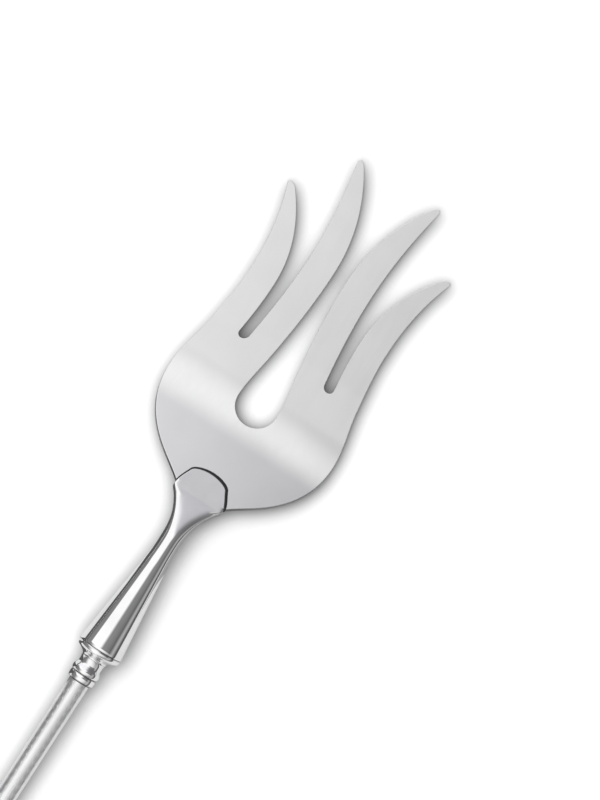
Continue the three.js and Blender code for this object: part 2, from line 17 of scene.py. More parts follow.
import bmesh
import bpy
import numpy as np
from bpy.types import Material, Mesh, Node, NodeSocket, NodeTree, Object
from mathutils import Matrix, Vector
from mathutils.geometry import delaunay_2d_cdt


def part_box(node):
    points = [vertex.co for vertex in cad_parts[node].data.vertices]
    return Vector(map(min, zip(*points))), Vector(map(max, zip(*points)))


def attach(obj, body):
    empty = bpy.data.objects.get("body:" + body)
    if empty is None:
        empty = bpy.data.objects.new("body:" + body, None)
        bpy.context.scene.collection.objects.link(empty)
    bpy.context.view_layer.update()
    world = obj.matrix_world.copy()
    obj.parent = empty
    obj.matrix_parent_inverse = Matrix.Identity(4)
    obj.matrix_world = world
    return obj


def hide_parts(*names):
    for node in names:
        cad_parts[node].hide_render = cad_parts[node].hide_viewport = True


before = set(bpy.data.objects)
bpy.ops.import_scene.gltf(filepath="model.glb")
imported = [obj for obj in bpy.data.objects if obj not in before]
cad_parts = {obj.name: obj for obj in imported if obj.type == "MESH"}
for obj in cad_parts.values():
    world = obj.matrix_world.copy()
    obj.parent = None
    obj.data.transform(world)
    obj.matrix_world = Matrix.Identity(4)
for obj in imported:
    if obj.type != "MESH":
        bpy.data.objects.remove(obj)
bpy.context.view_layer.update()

MM = 0.001
BODY = "root"
DEGREES = 180 / math.pi
# Lengths in millimetres that count as nothing when a mesh is laid out and cleaned.
WELD_DISTANCE = 0.002
SLIVER_LENGTH = 0.001
PLAN_TOLERANCE = 1e-7
# Share of the spacing that the points inside a face keep clear of its edge.
FILL_CLEARANCE = 0.55
# How far in from the corner the middle point of a small rounding lies, as a share of the rounding.
ROUNDED = 0.3
HALVINGS = 40
SHARP_ANGLE = math.radians(40)
# Parts of a noise's range over which a finish changes from one look to the other.
LINE_RANGE = (0.3, 0.7)
CLOUD_RANGE = (0.35, 0.7)
GRIT_RANGE = (0.35, 0.65)
TARNISH_AND_SHADE_RANGE = (0.2, 0.6)
# Tarnish and painted shade that the clouds leave, at least, and how much rougher metal is where
# they are deepest.
TARNISH_AND_SHADE_LEAST = 0.7
TARNISH_AND_SHADE_ROUGHNESS = 0.3
BLACK, WHITE = (0, 0, 0, 1), (1, 1, 1, 1)
# What a node's input can be given.
Value = NodeSocket | float | tuple[float, ...]
log = logging.getLogger("cake_fork")


class Side(Enum):
    """The two faces of the fork."""

    FRONT = 1
    BACK = -1


class SmoothCurve:
    """Cubic curve through knots of (position, value) or (position, value, slope)."""

    def __init__(self, *knots: tuple[float, ...]) -> None:
        """Keeps the knots, and lets a slope that is left out follow the neighbours.

        Args:
            knots: the knots, in rising order of position.
        """
        self.at = np.array([knot[0] for knot in knots], float)
        self.value = np.array([knot[1] for knot in knots], float)
        before = np.maximum(np.arange(len(knots)) - 1, 0)
        after = np.minimum(np.arange(len(knots)) + 1, len(knots) - 1)
        chord = (self.value[after] - self.value[before]) / (self.at[after] - self.at[before])
        self.slope = np.array([
            knot[2] if len(knot) > 2 else slope for knot, slope in zip(knots, chord)
        ])

    def __call__(self, position: np.ndarray | float) -> np.ndarray:
        """Value of the curve.

        Args:
            position: one position or an array of them.

        Returns:
            The value at each position, held beyond the first and last knot.
        """
        position = np.asarray(position, float)
        i = np.clip(np.searchsorted(self.at, position) - 1, 0, len(self.at) - 2)
        span = self.at[i + 1] - self.at[i]
        t = np.clip((position - self.at[i]) / span, 0, 1)
        rise = t * t * (3 - 2 * t)
        leaving = t * (1 - t) ** 2 * span * self.slope[i]
        arriving = -t * t * (1 - t) * span * self.slope[i + 1]
        return self.value[i] * (1 - rise) + self.value[i + 1] * rise + leaving + arriving


def smooth_step(value: np.ndarray | float, low: float, high: float) -> np.ndarray:
    """Smooth rise from 0 at low to 1 at high."""
    t = np.clip((np.asarray(value, float) - low) / (high - low), 0, 1)
    return t * t * (3 - 2 * t)


def bezier(corners: list[tuple[float, float]], steps: int) -> np.ndarray:
    """Points on a cubic Bezier curve.

    Args:
        corners: start, two controls, end.
        steps: number of steps from start to end.

    Returns:
        Rows of (across, along), both ends included.
    """
    a, b, c, d = (np.array(corner, float) for corner in corners)
    t = np.linspace(0, 1, steps + 1)[:, None]
    return a * (1 - t) ** 3 + 3 * b * t * (1 - t) ** 2 + 3 * c * t * t * (1 - t) + d * t**3


def outward(path: np.ndarray, closed: bool) -> np.ndarray:
    """Unit normals on the right-hand side of a path in plan.

    Args:
        path: rows of (across, along).
        closed: whether the last point joins the first.

    Returns:
        One normal for each point.
    """
    ahead = np.roll(path, -1, 0) - path
    if not closed:
        ahead[-1] = ahead[-2]
    ahead /= np.linalg.norm(ahead, axis=1)[:, None]
    behind = np.roll(ahead, 1, 0)
    if not closed:
        behind[0] = ahead[0]
    tangent = ahead + behind
    tangent /= np.linalg.norm(tangent, axis=1)[:, None]
    return np.column_stack([tangent[:, 1], -tangent[:, 0]])


def enclosed(edge: np.ndarray, points: np.ndarray) -> np.ndarray:
    """Whether points lie inside a closed loop in plan.

    Args:
        edge: rows of (across, along) round the loop.
        points: rows of (across, along).

    Returns:
        One answer for each point.
    """
    inside = np.zeros(len(points), bool)
    for start, end in zip(edge, np.roll(edge, -1, 0)):
        crossed = (start[1] > points[:, 1]) != (end[1] > points[:, 1])
        rise = (end[1] - start[1]) or 1.0  # A level edge is never crossed.
        share = (points[:, 1] - start[1]) / rise
        inside ^= crossed & (points[:, 0] < start[0] + (end[0] - start[0]) * share)
    return inside


def ring_edges(count: int) -> list[tuple[int, int]]:
    """Pairs of numbers that join a ring of points."""
    return [(i, (i + 1) % count) for i in range(count)]


def points_inside(edge: np.ndarray, spacing: float) -> np.ndarray:
    """Staggered grid of points inside a closed loop, clear of its edge.

    Args:
        edge: rows of (across, along) round the loop.
        spacing: distance between neighbouring points.

    Returns:
        Rows of (across, along).
    """
    low, high = edge.min(0), edge.max(0)
    across = np.arange(low[0], high[0], spacing)
    along = np.arange(low[1], high[1], spacing * math.sqrt(3) / 2)
    grid = np.array([
        (x + spacing / 2 * (row % 2), y) for row, y in enumerate(along) for x in across
    ])
    grid = grid[enclosed(edge, grid)]
    nearest = np.full(len(grid), np.inf)
    for corner in edge:
        nearest = np.minimum(nearest, np.hypot(*(grid - corner).T))
    return grid[nearest > FILL_CLEARANCE * spacing]


@dataclass(frozen=True)
class Spine:
    """Side view of the fork: flat tines, bent palm, sloping root, bent neck, straight handle."""

    shoulder_y: float
    handle_tilt: float = 0.0
    plate: float = 1.8
    palm_tilt: float = math.radians(15)
    bend_reach: float = 32.0
    bend_radius: float = 60.0
    neck_bend_reach: float = -8.0
    neck_bend_radius: float = 45.0

    def at(self, reach: np.ndarray | float) -> tuple[np.ndarray, np.ndarray]:
        """Height of the middle line and its tilt, positive where it rises towards the handle.

        Args:
            reach: one reach or an array of them.

        Returns:
            Heights in millimetres and tilts in radians.
        """
        reach = np.asarray(reach, float)
        palm, handle = self.palm_tilt, self.handle_tilt
        flat = self.plate / 2
        slope_reach = self.bend_reach - self.bend_radius * math.sin(palm)
        slope_height = flat + self.bend_radius * (1 - math.cos(palm))
        neck_height = slope_height + (slope_reach - self.neck_bend_reach) * math.tan(palm)
        neck_length = self.neck_bend_radius * (math.sin(palm) + math.sin(handle))
        axis_reach = self.neck_bend_reach - neck_length
        axis_height = neck_height + self.neck_bend_radius * (math.cos(handle) - math.cos(palm))
        bend = np.arcsin(np.clip((self.bend_reach - reach) / self.bend_radius, 0, math.sin(palm)))
        neck_sine = math.sin(palm) - (self.neck_bend_reach - reach) / self.neck_bend_radius
        neck = np.arcsin(np.clip(neck_sine, -math.sin(handle), math.sin(palm)))
        height = np.select(
            [reach >= slope_reach, reach >= self.neck_bend_reach, reach >= axis_reach],
            [
                flat + self.bend_radius * (1 - np.cos(bend)),
                slope_height + (slope_reach - reach) * math.tan(palm),
                neck_height + self.neck_bend_radius * (np.cos(neck) - math.cos(palm)),
            ],
            axis_height - (axis_reach - reach) * math.tan(handle),
        )
        return height, np.where(reach >= self.neck_bend_reach, bend, neck)

    def resting(self, mouth_reach: float, grip_station: float, grip_thickness: float) -> "Spine":
        """The same spine with its handle leant until the grip touches the table.

        Args:
            mouth_reach: reach of the sleeve's mouth, where the handle's axis starts.
            grip_station: station of the lowest part of the grip.
            grip_thickness: thickness there.

        Returns:
            A spine with its handle_tilt set.
        """
        low, high = 0.0, self.palm_tilt
        for _ in range(HALVINGS):
            middle = (low + high) / 2
            height, _ = replace(self, handle_tilt=middle).at(mouth_reach)
            clear = height - grip_station * math.sin(middle)
            clear -= grip_thickness / 2 * math.cos(middle)
            low, high = (middle, high) if clear > 0 else (low, middle)
        return replace(self, handle_tilt=low)

    def handle_reach(self, mouth_reach: float, station: np.ndarray | float) -> np.ndarray | float:
        """Reach of a station on the handle's axis."""
        return mouth_reach - station * math.cos(self.handle_tilt)

    def place(self, drawn: np.ndarray) -> np.ndarray:
        """Bends points of the straightened fork into place.

        Args:
            drawn: rows of (across, reach, height above the middle line).

        Returns:
            Rows of (x, y, z) in the fork's frame, in millimetres.
        """
        height, tilt = self.at(drawn[:, 1])
        y = self.shoulder_y + drawn[:, 1] + drawn[:, 2] * np.sin(tilt)
        return np.column_stack([drawn[:, 0], y, height + drawn[:, 2] * np.cos(tilt)])

    def turn(self, normals: np.ndarray, reach: np.ndarray) -> np.ndarray:
        """Turns directions of the straightened fork with the bend.

        Args:
            normals: rows of (across, along, up).
            reach: reach of each.

        Returns:
            Unit vectors in the fork's frame.
        """
        _, tilt = self.at(reach)
        sine, cosine = np.sin(tilt), np.cos(tilt)
        across, along, up = normals.T
        turned = np.column_stack([across, along * cosine + up * sine, up * cosine - along * sine])
        return turned / np.linalg.norm(turned, axis=1)[:, None]


class Draft:
    """Points and faces of one closed piece, drawn on the straightened fork."""

    def __init__(self) -> None:
        """Starts empty."""
        self.points: list[tuple[float, float, float]] = []
        self.faces: list[tuple[int, ...]] = []
        self.stain: list[float] = []

    def add(self, points: np.ndarray, stain: np.ndarray | float = 0.0) -> list[int]:
        """Adds points.

        Args:
            points: rows of (across, reach, height).
            stain: depth of tarnish and painted shade at each.

        Returns:
            Their numbers.
        """
        first = len(self.points)
        self.points.extend(tuple(float(value) for value in point) for point in points)
        self.stain.extend(np.broadcast_to(stain, len(points)).tolist())
        return list(range(first, len(self.points)))

    def drawn(self, numbers: list[int]) -> np.ndarray:
        """The points with these numbers, as rows."""
        return np.array([self.points[number] for number in numbers])

    def bridge(self, first: list[int], second: list[int], closed: bool = False) -> None:
        """Joins two rows of points with four-sided faces.

        Args:
            first: one row.
            second: the next row, with as many points.
            closed: whether the rows are rings.
        """
        count = len(first)
        for i in range(count if closed else count - 1):
            j = (i + 1) % count
            corners = dict.fromkeys((first[i], second[i], second[j], first[j]))
            if len(corners) > 2:
                self.faces.append(tuple(corners))

    def loft(self, rows: list[list[int]], closed: bool = False) -> None:
        """Joins rows of points, each to the next."""
        for row, following in zip(rows, rows[1:]):
            self.bridge(row, following, closed)

    def fan(self, ring: list[int], hub: tuple[float, float, float]) -> None:
        """Closes a ring with a fan of faces.

        Args:
            ring: numbers of the ring's points.
            hub: the point in the middle.
        """
        (centre,) = self.add(np.array([hub]))
        for i, number in enumerate(ring):
            self.faces.append((centre, number, ring[(i + 1) % len(ring)]))

    def fill(self, loop: list[int], spacing: float, lift: Callable[[np.ndarray], np.ndarray],
             upward: bool = True) -> list[int]:
        """Fills a loop with even triangles, laid out in plan.

        Args:
            loop: numbers of the loop's points.
            spacing: distance between the points that are added inside.
            lift: gives the height of added points from rows of (across, reach).
            upward: whether the faces look up.

        Returns:
            Numbers of the points that were added.
        """
        edge = self.drawn(loop)[:, :2]
        inside = points_inside(edge, spacing)
        added = self.add(np.column_stack([inside, lift(inside)])) if len(inside) else []
        numbers = [*loop, *added]
        plan = [Vector(point) for point in (*edge, *inside)]
        border = [list(range(len(loop)))]
        _, _, faces, sources, _, _ = delaunay_2d_cdt(plan, [], border, 1, PLAN_TOLERANCE)
        for face in faces:
            corners = [numbers[sources[corner][0]] for corner in face]
            (ax, ay, _), (bx, by, _), (cx, cy, _) = (self.points[corner] for corner in corners)
            rising = (bx - ax) * (cy - ay) - (cx - ax) * (by - ay) > 0
            self.faces.append(tuple(corners if rising == upward else corners[::-1]))
        return added

    def make(self, name: str, spine: Spine, material: Material,
             sharp_angle: float | None = None) -> Object:
        """Turns the draft into an object at the origin, with its place in its mesh.

        Args:
            name: name of the piece.
            spine: bends the piece into place.
            material: its finish.
            sharp_angle: edges sharper than this, in radians, break the shading, if it is given.

        Returns:
            The new object, closed and with its faces outwards.
        """
        mesh = bpy.data.meshes.new(name)
        placed = spine.place(np.array(self.points)) * MM
        mesh.from_pydata(placed, [], self.faces, shade_flat=False)
        if any(self.stain):
            mark(mesh, "stain", np.array(self.stain))
        if sharp_angle is not None:
            close_up(mesh)
            mesh.set_sharp_from_angle(angle=sharp_angle)
        return new_piece(name, mesh, material)


def close_up(mesh: Mesh) -> None:
    """Merges doubled points and turns every face outwards.

    Args:
        mesh: the mesh that is cleaned.
    """
    work = bmesh.new()
    work.from_mesh(mesh)
    bmesh.ops.remove_doubles(work, verts=work.verts, dist=WELD_DISTANCE * MM)
    bmesh.ops.dissolve_degenerate(work, edges=work.edges, dist=SLIVER_LENGTH * MM)
    bmesh.ops.recalc_face_normals(work, faces=work.faces)
    work.to_mesh(mesh)
    work.free()


def new_piece(name: str, mesh: Mesh, material: Material) -> Object:
    """Links a mesh as an object at the origin.

    Args:
        name: name of the piece.
        mesh: its mesh, already in place.
        material: its finish.

    Returns:
        The object.
    """
    mesh.materials.clear()
    mesh.materials.append(material)
    piece = bpy.data.objects.new(name, mesh)
    bpy.context.scene.collection.objects.link(piece)
    return piece


def mark(mesh: Mesh, name: str, values: np.ndarray) -> None:
    """Writes a number or a direction at each point of a mesh, for a finish or recipe to read.

    Args:
        mesh: the mesh.
        name: what the numbers are called.
        values: a number or a row of three for each point.
    """
    values = np.asarray(values, np.float32)
    kind, field = ("FLOAT", "value") if values.ndim == 1 else ("FLOAT_VECTOR", "vector")
    mesh.attributes.new(name, kind, "POINT").data.foreach_set(field, values.ravel())


def settle(piece: Object, slot: str, *nodes: str) -> Object:
    """Puts a finished piece on the fork's body.

    Args:
        piece: the piece.
        slot: the record's material slot, which is not used.
        nodes: CAD nodes that it stands for.

    Returns:
        The same piece.
    """
    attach(piece, BODY)
    if nodes:
        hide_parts(*nodes)
    log.info("%s: %d faces, stands for %s", piece.name, len(piece.data.polygons),
             ", ".join(nodes) or "nothing")
    return piece


def linear(colour: str) -> tuple[float, float, float, float]:
    """Linear colour with full alpha from an sRGB hex value such as #C8C9CC."""
    parts = [int(colour[i:i + 2], 16) / 255 for i in (1, 3, 5)]
    return (*[p / 12.92 if p <= 0.04045 else ((p + 0.055) / 1.055) ** 2.4 for p in parts], 1.0)


def add_node(tree: NodeTree, kind: str, inputs: dict | None = None, **settings: object) -> Node:
    """Adds one node with its settings, values and links.

    Args:
        tree: the tree that gets it.
        kind: Blender's name of the node's type.
        inputs: value or output socket for each input, by name or by number.
        settings: properties of the node.

    Returns:
        The node.
    """
    node = tree.nodes.new(kind)
    for name, value in settings.items():
        setattr(node, name, value)
    for key, value in (inputs or {}).items():
        if isinstance(value, NodeSocket):
            tree.links.new(value, node.inputs[key])
        else:
            node.inputs[key].default_value = value
    return node


def calc(tree: NodeTree, operation: str, *values: Value) -> NodeSocket:
    """Adds a calculation and returns its result."""
    return add_node(tree, "ShaderNodeMath", dict(enumerate(values)), operation=operation).outputs[0]


def blend(tree: NodeTree, part: Value, first: Value, second: Value,
          **settings: object) -> NodeSocket:
    """Adds a mix of two colours, from the first at part 0 to the second at part 1."""
    colours = {0: part, 6: first, 7: second}
    return add_node(tree, "ShaderNodeMix", colours, data_type="RGBA", **settings).outputs[2]


def rescale(tree: NodeTree, value: Value, start: Value, end: Value, low: float = 0.0,
            high: float = 1.0, **settings: object) -> NodeSocket:
    """Adds a change of scale, from low where the value is at start to high where it is at end."""
    scale = {"Value": value, "From Min": start, "From Max": end, "To Min": low, "To Max": high}
    return add_node(tree, "ShaderNodeMapRange", scale, **settings).outputs[0]


def noise(tree: NodeTree, place: Value, size_mm: float, detail: float,
          roughness: float) -> NodeSocket:
    """Adds a noise whose spots are about as wide as the size, and returns its strength."""
    return add_node(tree, "ShaderNodeTexNoise", {
        "Vector": place, "Scale": 1 / (size_mm * MM), "Detail": detail, "Roughness": roughness,
    }).outputs["Fac"]


def attribute(tree: NodeTree, name: str) -> NodeSocket:
    """Adds a reader of one of the piece's own numbers."""
    return add_node(tree, "ShaderNodeAttribute", attribute_name=name).outputs["Fac"]


def new_material(name: str) -> tuple[Material, NodeTree]:
    """Starts a material.

    Args:
        name: its name.

    Returns:
        The material and its tree, which is empty.
    """
    material = bpy.data.materials.new(name)
    material.use_nodes = True
    material.node_tree.nodes.clear()
    return material, material.node_tree


def close_finish(tree: NodeTree, colour: Value, metallic: float, roughness: Value,
                 height: Value, depth_mm: float, strength: float) -> None:
    """Ends a finish's tree in its relief, its shader and the output.

    Args:
        tree: the tree.
        colour: colour of the surface.
        metallic: 1 for bare metal, 0 for stone.
        roughness: how dull it is.
        height: its relief, from 0 to 1.
        depth_mm: depth of the relief.
        strength: how much of the relief shows.
    """
    relief = add_node(tree, "ShaderNodeBump", {
        "Strength": strength, "Distance": depth_mm * MM, "Height": height,
    })
    shader = add_node(tree, "ShaderNodeBsdfPrincipled", {
        "Base Color": colour, "Metallic": metallic, "Roughness": roughness,
        "Normal": relief.outputs[0],
    })
    add_node(tree, "ShaderNodeOutputMaterial", {"Surface": shader.outputs[0]})


def ramp(tree: NodeTree, value: NodeSocket, stops: tuple[tuple[float, float], ...]) -> NodeSocket:
    """Adds a straight-lined curve through stops of (value, level).

    Args:
        tree: the tree that gets it.
        value: what it follows.
        stops: the stops, in rising order of value.

    Returns:
        The level, held beyond the first and last stop.
    """
    first, last = stops[0][0], stops[-1][0]
    low, high = min(level for _, level in stops), max(level for _, level in stops)
    shares = add_node(tree, "ShaderNodeValToRGB", {0: rescale(tree, value, first, last)})
    elements = shares.color_ramp.elements
    elements.remove(elements[1])
    for at, level in stops:
        place, share = (at - first) / (last - first), (level - low) / (high - low)
        element = elements[0] if at == first else elements.new(place)
        element.position, element.color = place, (share, share, share, 1.0)
    return rescale(tree, shares.outputs[0], 0.0, 1.0, low, high)


@dataclass(frozen=True)
class MetalFinish:
    """A polished or plated metal surface: fine polishing lines, cloudy tone, wear, tarnish and
    painted shade.
    """

    name: str
    colour: str
    cloud: str
    stain: str
    roughness: float
    roughness_spread: float
    line_mm: float
    line_length_mm: float
    cloud_mm: float
    relief_mm: float
    edge_roughness: float = 0.0

    def build(self) -> Material:
        """Makes the material.

        Returns:
            A material that reads Object coordinates, the piece's own edge, and its depth of tarnish
            and painted shade.
        """
        material, tree = new_material(self.name)
        place = add_node(tree, "ShaderNodeTexCoord").outputs["Object"]
        # Polishing lines run along the fork: a noise drawn out in Y.
        drawn_out = (1 / self.line_mm, 1 / self.line_length_mm, 1 / self.line_mm)
        stretched = add_node(tree, "ShaderNodeMapping", {"Vector": place, "Scale": drawn_out})
        lines = noise(tree, stretched.outputs[0], 1.0, detail=2.0, roughness=0.6)
        clouds = noise(tree, place, self.cloud_mm, detail=3.0, roughness=0.55)
        cloudy = rescale(tree, clouds, *CLOUD_RANGE)
        tone = blend(tree, cloudy, linear(self.colour), linear(self.cloud))
        # The clouds break up the tarnish and painted shade, and the metal is dull where they sit.
        broken = rescale(tree, clouds, *TARNISH_AND_SHADE_RANGE, 1.0, TARNISH_AND_SHADE_LEAST)
        depth = calc(tree, "MULTIPLY", attribute(tree, "stain"), broken)
        polish = rescale(tree, lines, *LINE_RANGE, self.roughness - self.roughness_spread,
                         self.roughness + self.roughness_spread)
        worn = calc(tree, "MULTIPLY_ADD", attribute(tree, "edge"), self.edge_roughness, polish)
        dull = calc(tree, "MULTIPLY_ADD", depth, TARNISH_AND_SHADE_ROUGHNESS, worn)
        # Painted shade and tarnish darken the colour by the piece's own depth of them.
        stained_and_shaded = blend(tree, depth, tone, linear(self.stain))
        close_finish(tree, stained_and_shaded, 1.0, dull, lines, self.relief_mm, strength=0.5)
        return material


@dataclass(frozen=True)
class GrittyFinish:
    """A dull, uneven surface such as oxide or cement: mottled colour and a grainy relief."""

    name: str
    colour: str
    mottle: str
    metallic: float
    roughness: float
    grit_mm: float
    relief_mm: float
    roughness_spread: float = 0.1

    def build(self) -> Material:
        """Makes the material.

        Returns:
            A material that reads Object coordinates.
        """
        material, tree = new_material(self.name)
        place = add_node(tree, "ShaderNodeTexCoord").outputs["Object"]
        grit = noise(tree, place, self.grit_mm, detail=4.0, roughness=0.65)
        mottled = rescale(tree, grit, *GRIT_RANGE)
        tone = blend(tree, mottled, linear(self.colour), linear(self.mottle))
        dull = rescale(tree, grit, *LINE_RANGE, self.roughness - self.roughness_spread,
                       self.roughness + self.roughness_spread)
        close_finish(tree, tone, self.metallic, dull, grit, self.relief_mm, strength=0.6)
        return material


# Stamped stainless steel, buffed along the tines: soft reflections with blurred edges.
# Its dark colour is painted on the plate's rounded edge, near the root and on the outer tips, as a
# dark reflection.
STAINLESS = MetalFinish(
    name="stamped_stainless_buffed", colour="#EFEFEF", cloud="#EAEAEA", stain="#49494B",
    roughness=0.215, roughness_spread=0.015,
    line_mm=0.5, line_length_mm=14, cloud_mm=18, relief_mm=0.0002, edge_roughness=0.06,
)
# Silver plate on drawn and turned brass: a near mirror, dark only where tarnish and painted shade
# sit.
SILVER_PLATE = MetalFinish(
    name="silver_plate_bright", colour="#F1F1F1", cloud="#EAEAEA", stain="#2B2A2C",
    roughness=0.06, roughness_spread=0.015,
    line_mm=0.4, line_length_mm=9, cloud_mm=7, relief_mm=0.0004,
)
# Silver plate on die-stamped shells: bright, but softer than on the turned pieces.
HANDLE_PLATE = MetalFinish(
    name="silver_plate_stamped", colour="#F0F0F0", cloud="#E8E8E8", stain="#3A393B",
    roughness=0.29, roughness_spread=0.02,
    line_mm=0.45, line_length_mm=11, cloud_mm=6, relief_mm=0.0003,
)
# Cold-drawn steel rod: grey, with draw lines along it.
DRAWN_STEEL = MetalFinish(
    name="drawn_steel", colour="#A9ABAF", cloud="#94969B", stain="#55504A",
    roughness=0.38, roughness_spread=0.08,
    line_mm=0.3, line_length_mm=20, cloud_mm=5, relief_mm=0.004,
)
# Brazing alloy blackened by polishing dirt: a dull dark line with a faint metal glint.
BRAZE = GrittyFinish(
    name="oxidised_braze", colour="#19191B", mottle="#2C2B2E", metallic=0.2, roughness=0.55,
    grit_mm=0.5, relief_mm=0.02,
)
# Cast handle cement: pale brown, matt and grainy.
CEMENT = GrittyFinish(
    name="cast_cement", colour="#BDB3A0", mottle="#A4998A", metallic=0.0, roughness=0.88,
    grit_mm=0.8, relief_mm=0.08,
)


class Recipe:
    """A Geometry Nodes tree with named inputs, grown on a line and kept as a plain mesh."""

    def __init__(self, name: str, **inputs: str) -> None:
        """Starts the tree.

        Args:
            name: name of the tree.
            inputs: socket type of each named input, besides the line itself.
        """
        self.tree = bpy.data.node_groups.new(name, "GeometryNodeTree")
        self.sockets: dict[str, str] = {}
        self.tree.interface.new_socket("Line", in_out="INPUT", socket_type="NodeSocketGeometry")
        for label, kind in inputs.items():
            socket = self.tree.interface.new_socket(label, in_out="INPUT", socket_type=kind)
            self.sockets[label] = socket.identifier
        self.tree.interface.new_socket("Piece", in_out="OUTPUT", socket_type="NodeSocketGeometry")
        self.given = add_node(self.tree, "NodeGroupInput").outputs
        curve = add_node(self.tree, "GeometryNodeMeshToCurve", {0: self.given["Line"]})
        self.curve = curve.outputs[0]

    def close(self, geometry: NodeSocket) -> "Recipe":
        """Ends the tree in Realize Instances, smooth shading and Set Material.

        Args:
            geometry: what the tree has made.

        Returns:
            The recipe.
        """
        real = add_node(self.tree, "GeometryNodeRealizeInstances", {0: geometry})
        smooth = add_node(self.tree, "GeometryNodeSetShadeSmooth", {0: real.outputs[0]})
        dressed = add_node(self.tree, "GeometryNodeSetMaterial", {
            0: smooth.outputs[0], "Material": self.given["Finish"],
        })
        add_node(self.tree, "NodeGroupOutput", {0: dressed.outputs[0]})
        return self

    def grow(self, name: str, points: np.ndarray, edges: list[tuple[int, int]],
             along: dict[str, np.ndarray] | None = None, **values: object) -> Mesh:
        """Runs the tree on a line.

        Args:
            name: name of the mesh.
            points: the line's points, in the unit that the piece is wanted in.
            edges: pairs of points that the line joins.
            along: numbers or directions at each point that the tree reads by name.
            values: value of each named input.

        Returns:
            A plain mesh.
        """
        line = bpy.data.meshes.new(name + "_line")
        line.from_pydata(points, edges, [])
        for label, numbers in (along or {}).items():
            mark(line, label, numbers)
        carrier = bpy.data.objects.new(name + "_line", line)
        bpy.context.scene.collection.objects.link(carrier)
        modifier = carrier.modifiers.new("recipe", "NODES")
        modifier.node_group = self.tree
        for label, value in values.items():
            modifier[self.sockets[label]] = value
        graph = bpy.context.evaluated_depsgraph_get()
        mesh = bpy.data.meshes.new_from_object(carrier.evaluated_get(graph))
        mesh.name = name
        bpy.data.objects.remove(carrier)
        bpy.data.meshes.remove(line)
        return mesh


def lathe_recipe() -> Recipe:
    """Turns a closed profile of (radius, station) round the handle's axis.

    Returns:
        The recipe.
    """
    recipe = Recipe("turned_on_lathe", Sides="NodeSocketInt", Finish="NodeSocketMaterial")
    circle = add_node(recipe.tree, "GeometryNodeCurvePrimitiveCircle", {
        "Resolution": recipe.given["Sides"], "Radius": 1.0,
    })
    swept = add_node(recipe.tree, "GeometryNodeCurveToMesh", {
        "Curve": circle.outputs[0], "Profile Curve": recipe.curve,
    })
    return recipe.close(swept.outputs[0])


def seam_recipe() -> Recipe:
    """Lays a round seam along a line, as thick as the line's own thickness says.

    Returns:
        The recipe.
    """
    recipe = Recipe("braze_run", Radius="NodeSocketFloat", Sides="NodeSocketInt",
                    Finish="NodeSocketMaterial")
    thickness = add_node(recipe.tree, "GeometryNodeInputNamedAttribute", {"Name": "thickness"},
                         data_type="FLOAT")
    circle = add_node(recipe.tree, "GeometryNodeCurvePrimitiveCircle", {
        "Resolution": recipe.given["Sides"], "Radius": recipe.given["Radius"],
    })
    swept = add_node(recipe.tree, "GeometryNodeCurveToMesh", {
        "Curve": recipe.curve, "Profile Curve": circle.outputs[0],
        "Scale": thickness.outputs["Attribute"],
    })
    return recipe.close(swept.outputs[0])


def bead_recipe() -> Recipe:
    """Sets long, low beads at an even pitch along a line, facing its outward side.

    Returns:
        The recipe.
    """
    recipe = Recipe("bead_row", Pitch="NodeSocketFloat", Size="NodeSocketVector",
                    Finish="NodeSocketMaterial")
    outwards = add_node(recipe.tree, "GeometryNodeInputNamedAttribute", {"Name": "outwards"},
                        data_type="FLOAT_VECTOR")
    spots = add_node(recipe.tree, "GeometryNodeCurveToPoints", {
        "Curve": recipe.curve, "Length": recipe.given["Pitch"],
    }, mode="LENGTH")
    bead = add_node(recipe.tree, "GeometryNodeMeshIcoSphere", {"Radius": 0.5, "Subdivisions": 2})
    facing = add_node(recipe.tree, "FunctionNodeAxesToRotation", {
        "Primary Axis": outwards.outputs["Attribute"], "Secondary Axis": spots.outputs["Tangent"],
    }, primary_axis="Z", secondary_axis="X")
    row = add_node(recipe.tree, "GeometryNodeInstanceOnPoints", {
        "Points": spots.outputs["Points"], "Instance": bead.outputs["Mesh"],
        "Rotation": facing.outputs[0], "Scale": recipe.given["Size"],
    })
    return recipe.close(row.outputs[0])


